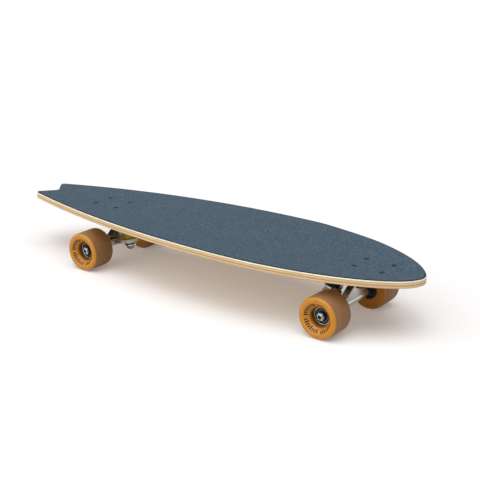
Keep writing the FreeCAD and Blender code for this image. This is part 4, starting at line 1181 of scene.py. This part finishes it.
@dataclass
class Studio:
    """Camera, floor and lights."""

    eye: Vector = Vector((1.1764, -1.4839, 0.73715))
    aim: Vector = Vector((-0.03166, 0.1228, 0.04325))
    focal_pixels: float = 1069.7
    picture_pixels: int = 480
    # Blender takes the sensor and the lens in millimetres.
    sensor: float = 36
    farthest: float = 100
    sky: float = 0.12
    key: float = 0.5
    key_from: Vector = Vector((0.25, -0.1, 1.0))
    key_softness: float = math.radians(56)
    fill: float = 0.5
    fill_from: Vector = Vector((-0.3, -0.75, 1.0))
    fill_softness: float = math.radians(70)
    floor_size: float = 40
    paper_colour: str = "#e6e8eb"
    glow_colour: str = "#fff3e8"
    floor_glow: float = 0.24

    def camera(self) -> None:
        """Stand the camera at the photograph's viewpoint."""
        data = bpy.data.cameras.new("camera")
        data.lens = self.focal_pixels / self.picture_pixels * self.sensor
        data.sensor_width = self.sensor
        data.clip_end = self.farthest
        camera = bpy.data.objects.new("camera", data)
        camera.location = self.eye
        camera.rotation_euler = (self.aim - self.eye).to_track_quat("-Z", "Y").to_euler()
        bpy.context.collection.objects.link(camera)
        bpy.context.scene.camera = camera

    def lamp(self, name: str, source: Vector, share: float, softness: float) -> None:
        """Light the room from one side, softly and the same everywhere.

        Args:
            name: the lamp's name.
            source: the way towards the lamp.
            share: how bright it makes a white sheet that faces it, where one is white.
            softness: the angle that it spans.
        """
        data = bpy.data.lights.new(name, "SUN")
        data.angle = softness
        data.energy = share * math.pi
        lamp = bpy.data.objects.new(name, data)
        lamp.rotation_euler = (-source).to_track_quat("-Z", "Y").to_euler()
        bpy.context.collection.objects.link(lamp)

    def shown(self, tree: Tree) -> Node:
        """Mark the rays that show the studio itself: the camera's, and those of metal and glass.

        Args:
            tree: the nodes of the floor or the world.

        Returns:
            The mask.
        """
        ray = add(tree, "LightPath", {})
        mask = ray.outputs["Is Camera Ray"]
        for kind in ("Is Glossy Ray", "Is Transmission Ray"):
            mask = add(tree, "Math", {0: mask, 1: ray.outputs[kind]}, operation="MAXIMUM")
        return mask

    def floor(self) -> None:
        """Lay a pale floor that takes the shadow and shows white."""
        Bench.clear()
        bpy.ops.mesh.primitive_grid_add(x_subdivisions=4, y_subdivisions=4, size=self.floor_size)
        floor = bpy.context.active_object
        floor.name = "studio_floor"
        material = bpy.data.materials.new("white_paper")
        material.use_nodes = True
        tree = material.node_tree
        tree.nodes.clear()
        paper = add(tree, "BsdfDiffuse", {"Color": linear(self.paper_colour)})
        strength = add(tree, "Math", {0: self.shown(tree), 1: self.floor_glow}, operation="MULTIPLY")
        glow = add(tree, "Emission", {"Color": linear(self.glow_colour), "Strength": strength})
        both = add(tree, "AddShader", {0: paper, 1: glow})
        add(tree, "OutputMaterial", {"Surface": both})
        floor.data.materials.append(material)

    def world(self) -> None:
        """Fill the room with even light, white where the camera sees it."""
        world = bpy.data.worlds.new("studio")
        world.use_nodes = True
        tree = world.node_tree
        tree.nodes.clear()
        strength = add(tree, "MapRange", {"Value": self.shown(tree), "To Min": self.sky, "To Max": 1.0})
        sky = add(tree, "Background", {"Color": linear("#ffffff"), "Strength": strength})
        add(tree, "OutputWorld", {"Surface": sky})
        bpy.context.scene.world = world

    def build(self) -> None:
        """Set up the studio."""
        self.camera()
        self.floor()
        self.world()
        self.lamp("key_lamp", self.key_from, self.key, self.key_softness)
        self.lamp("fill_lamp", self.fill_from, self.fill, self.fill_softness)
        bpy.context.scene.view_settings.view_transform = "Standard"


def main() -> None:
    """Build the studio and every piece, in order."""
    logging.basicConfig(level=logging.INFO)
    Studio().build()
    BOARD.dress()
    patterns = Patterns()
    patterns.build()
    for truck in (
        Truck(End.FRONT, axle_x=300 * MM, ring_x=262 * MM, lean=math.radians(10)),
        Truck(End.REAR, axle_x=-242 * MM, ring_x=-215 * MM, lean=math.radians(-10)),
    ):
        truck.dress()
        truck.build(patterns)
        for side in Side:
            wheel = Wheel(truck.end, side, truck.axle_x)
            wheel.dress()
            wheel.build(patterns)
    patterns.put_away()
    Bench.clear()


if __name__ == "__main__":
    main()
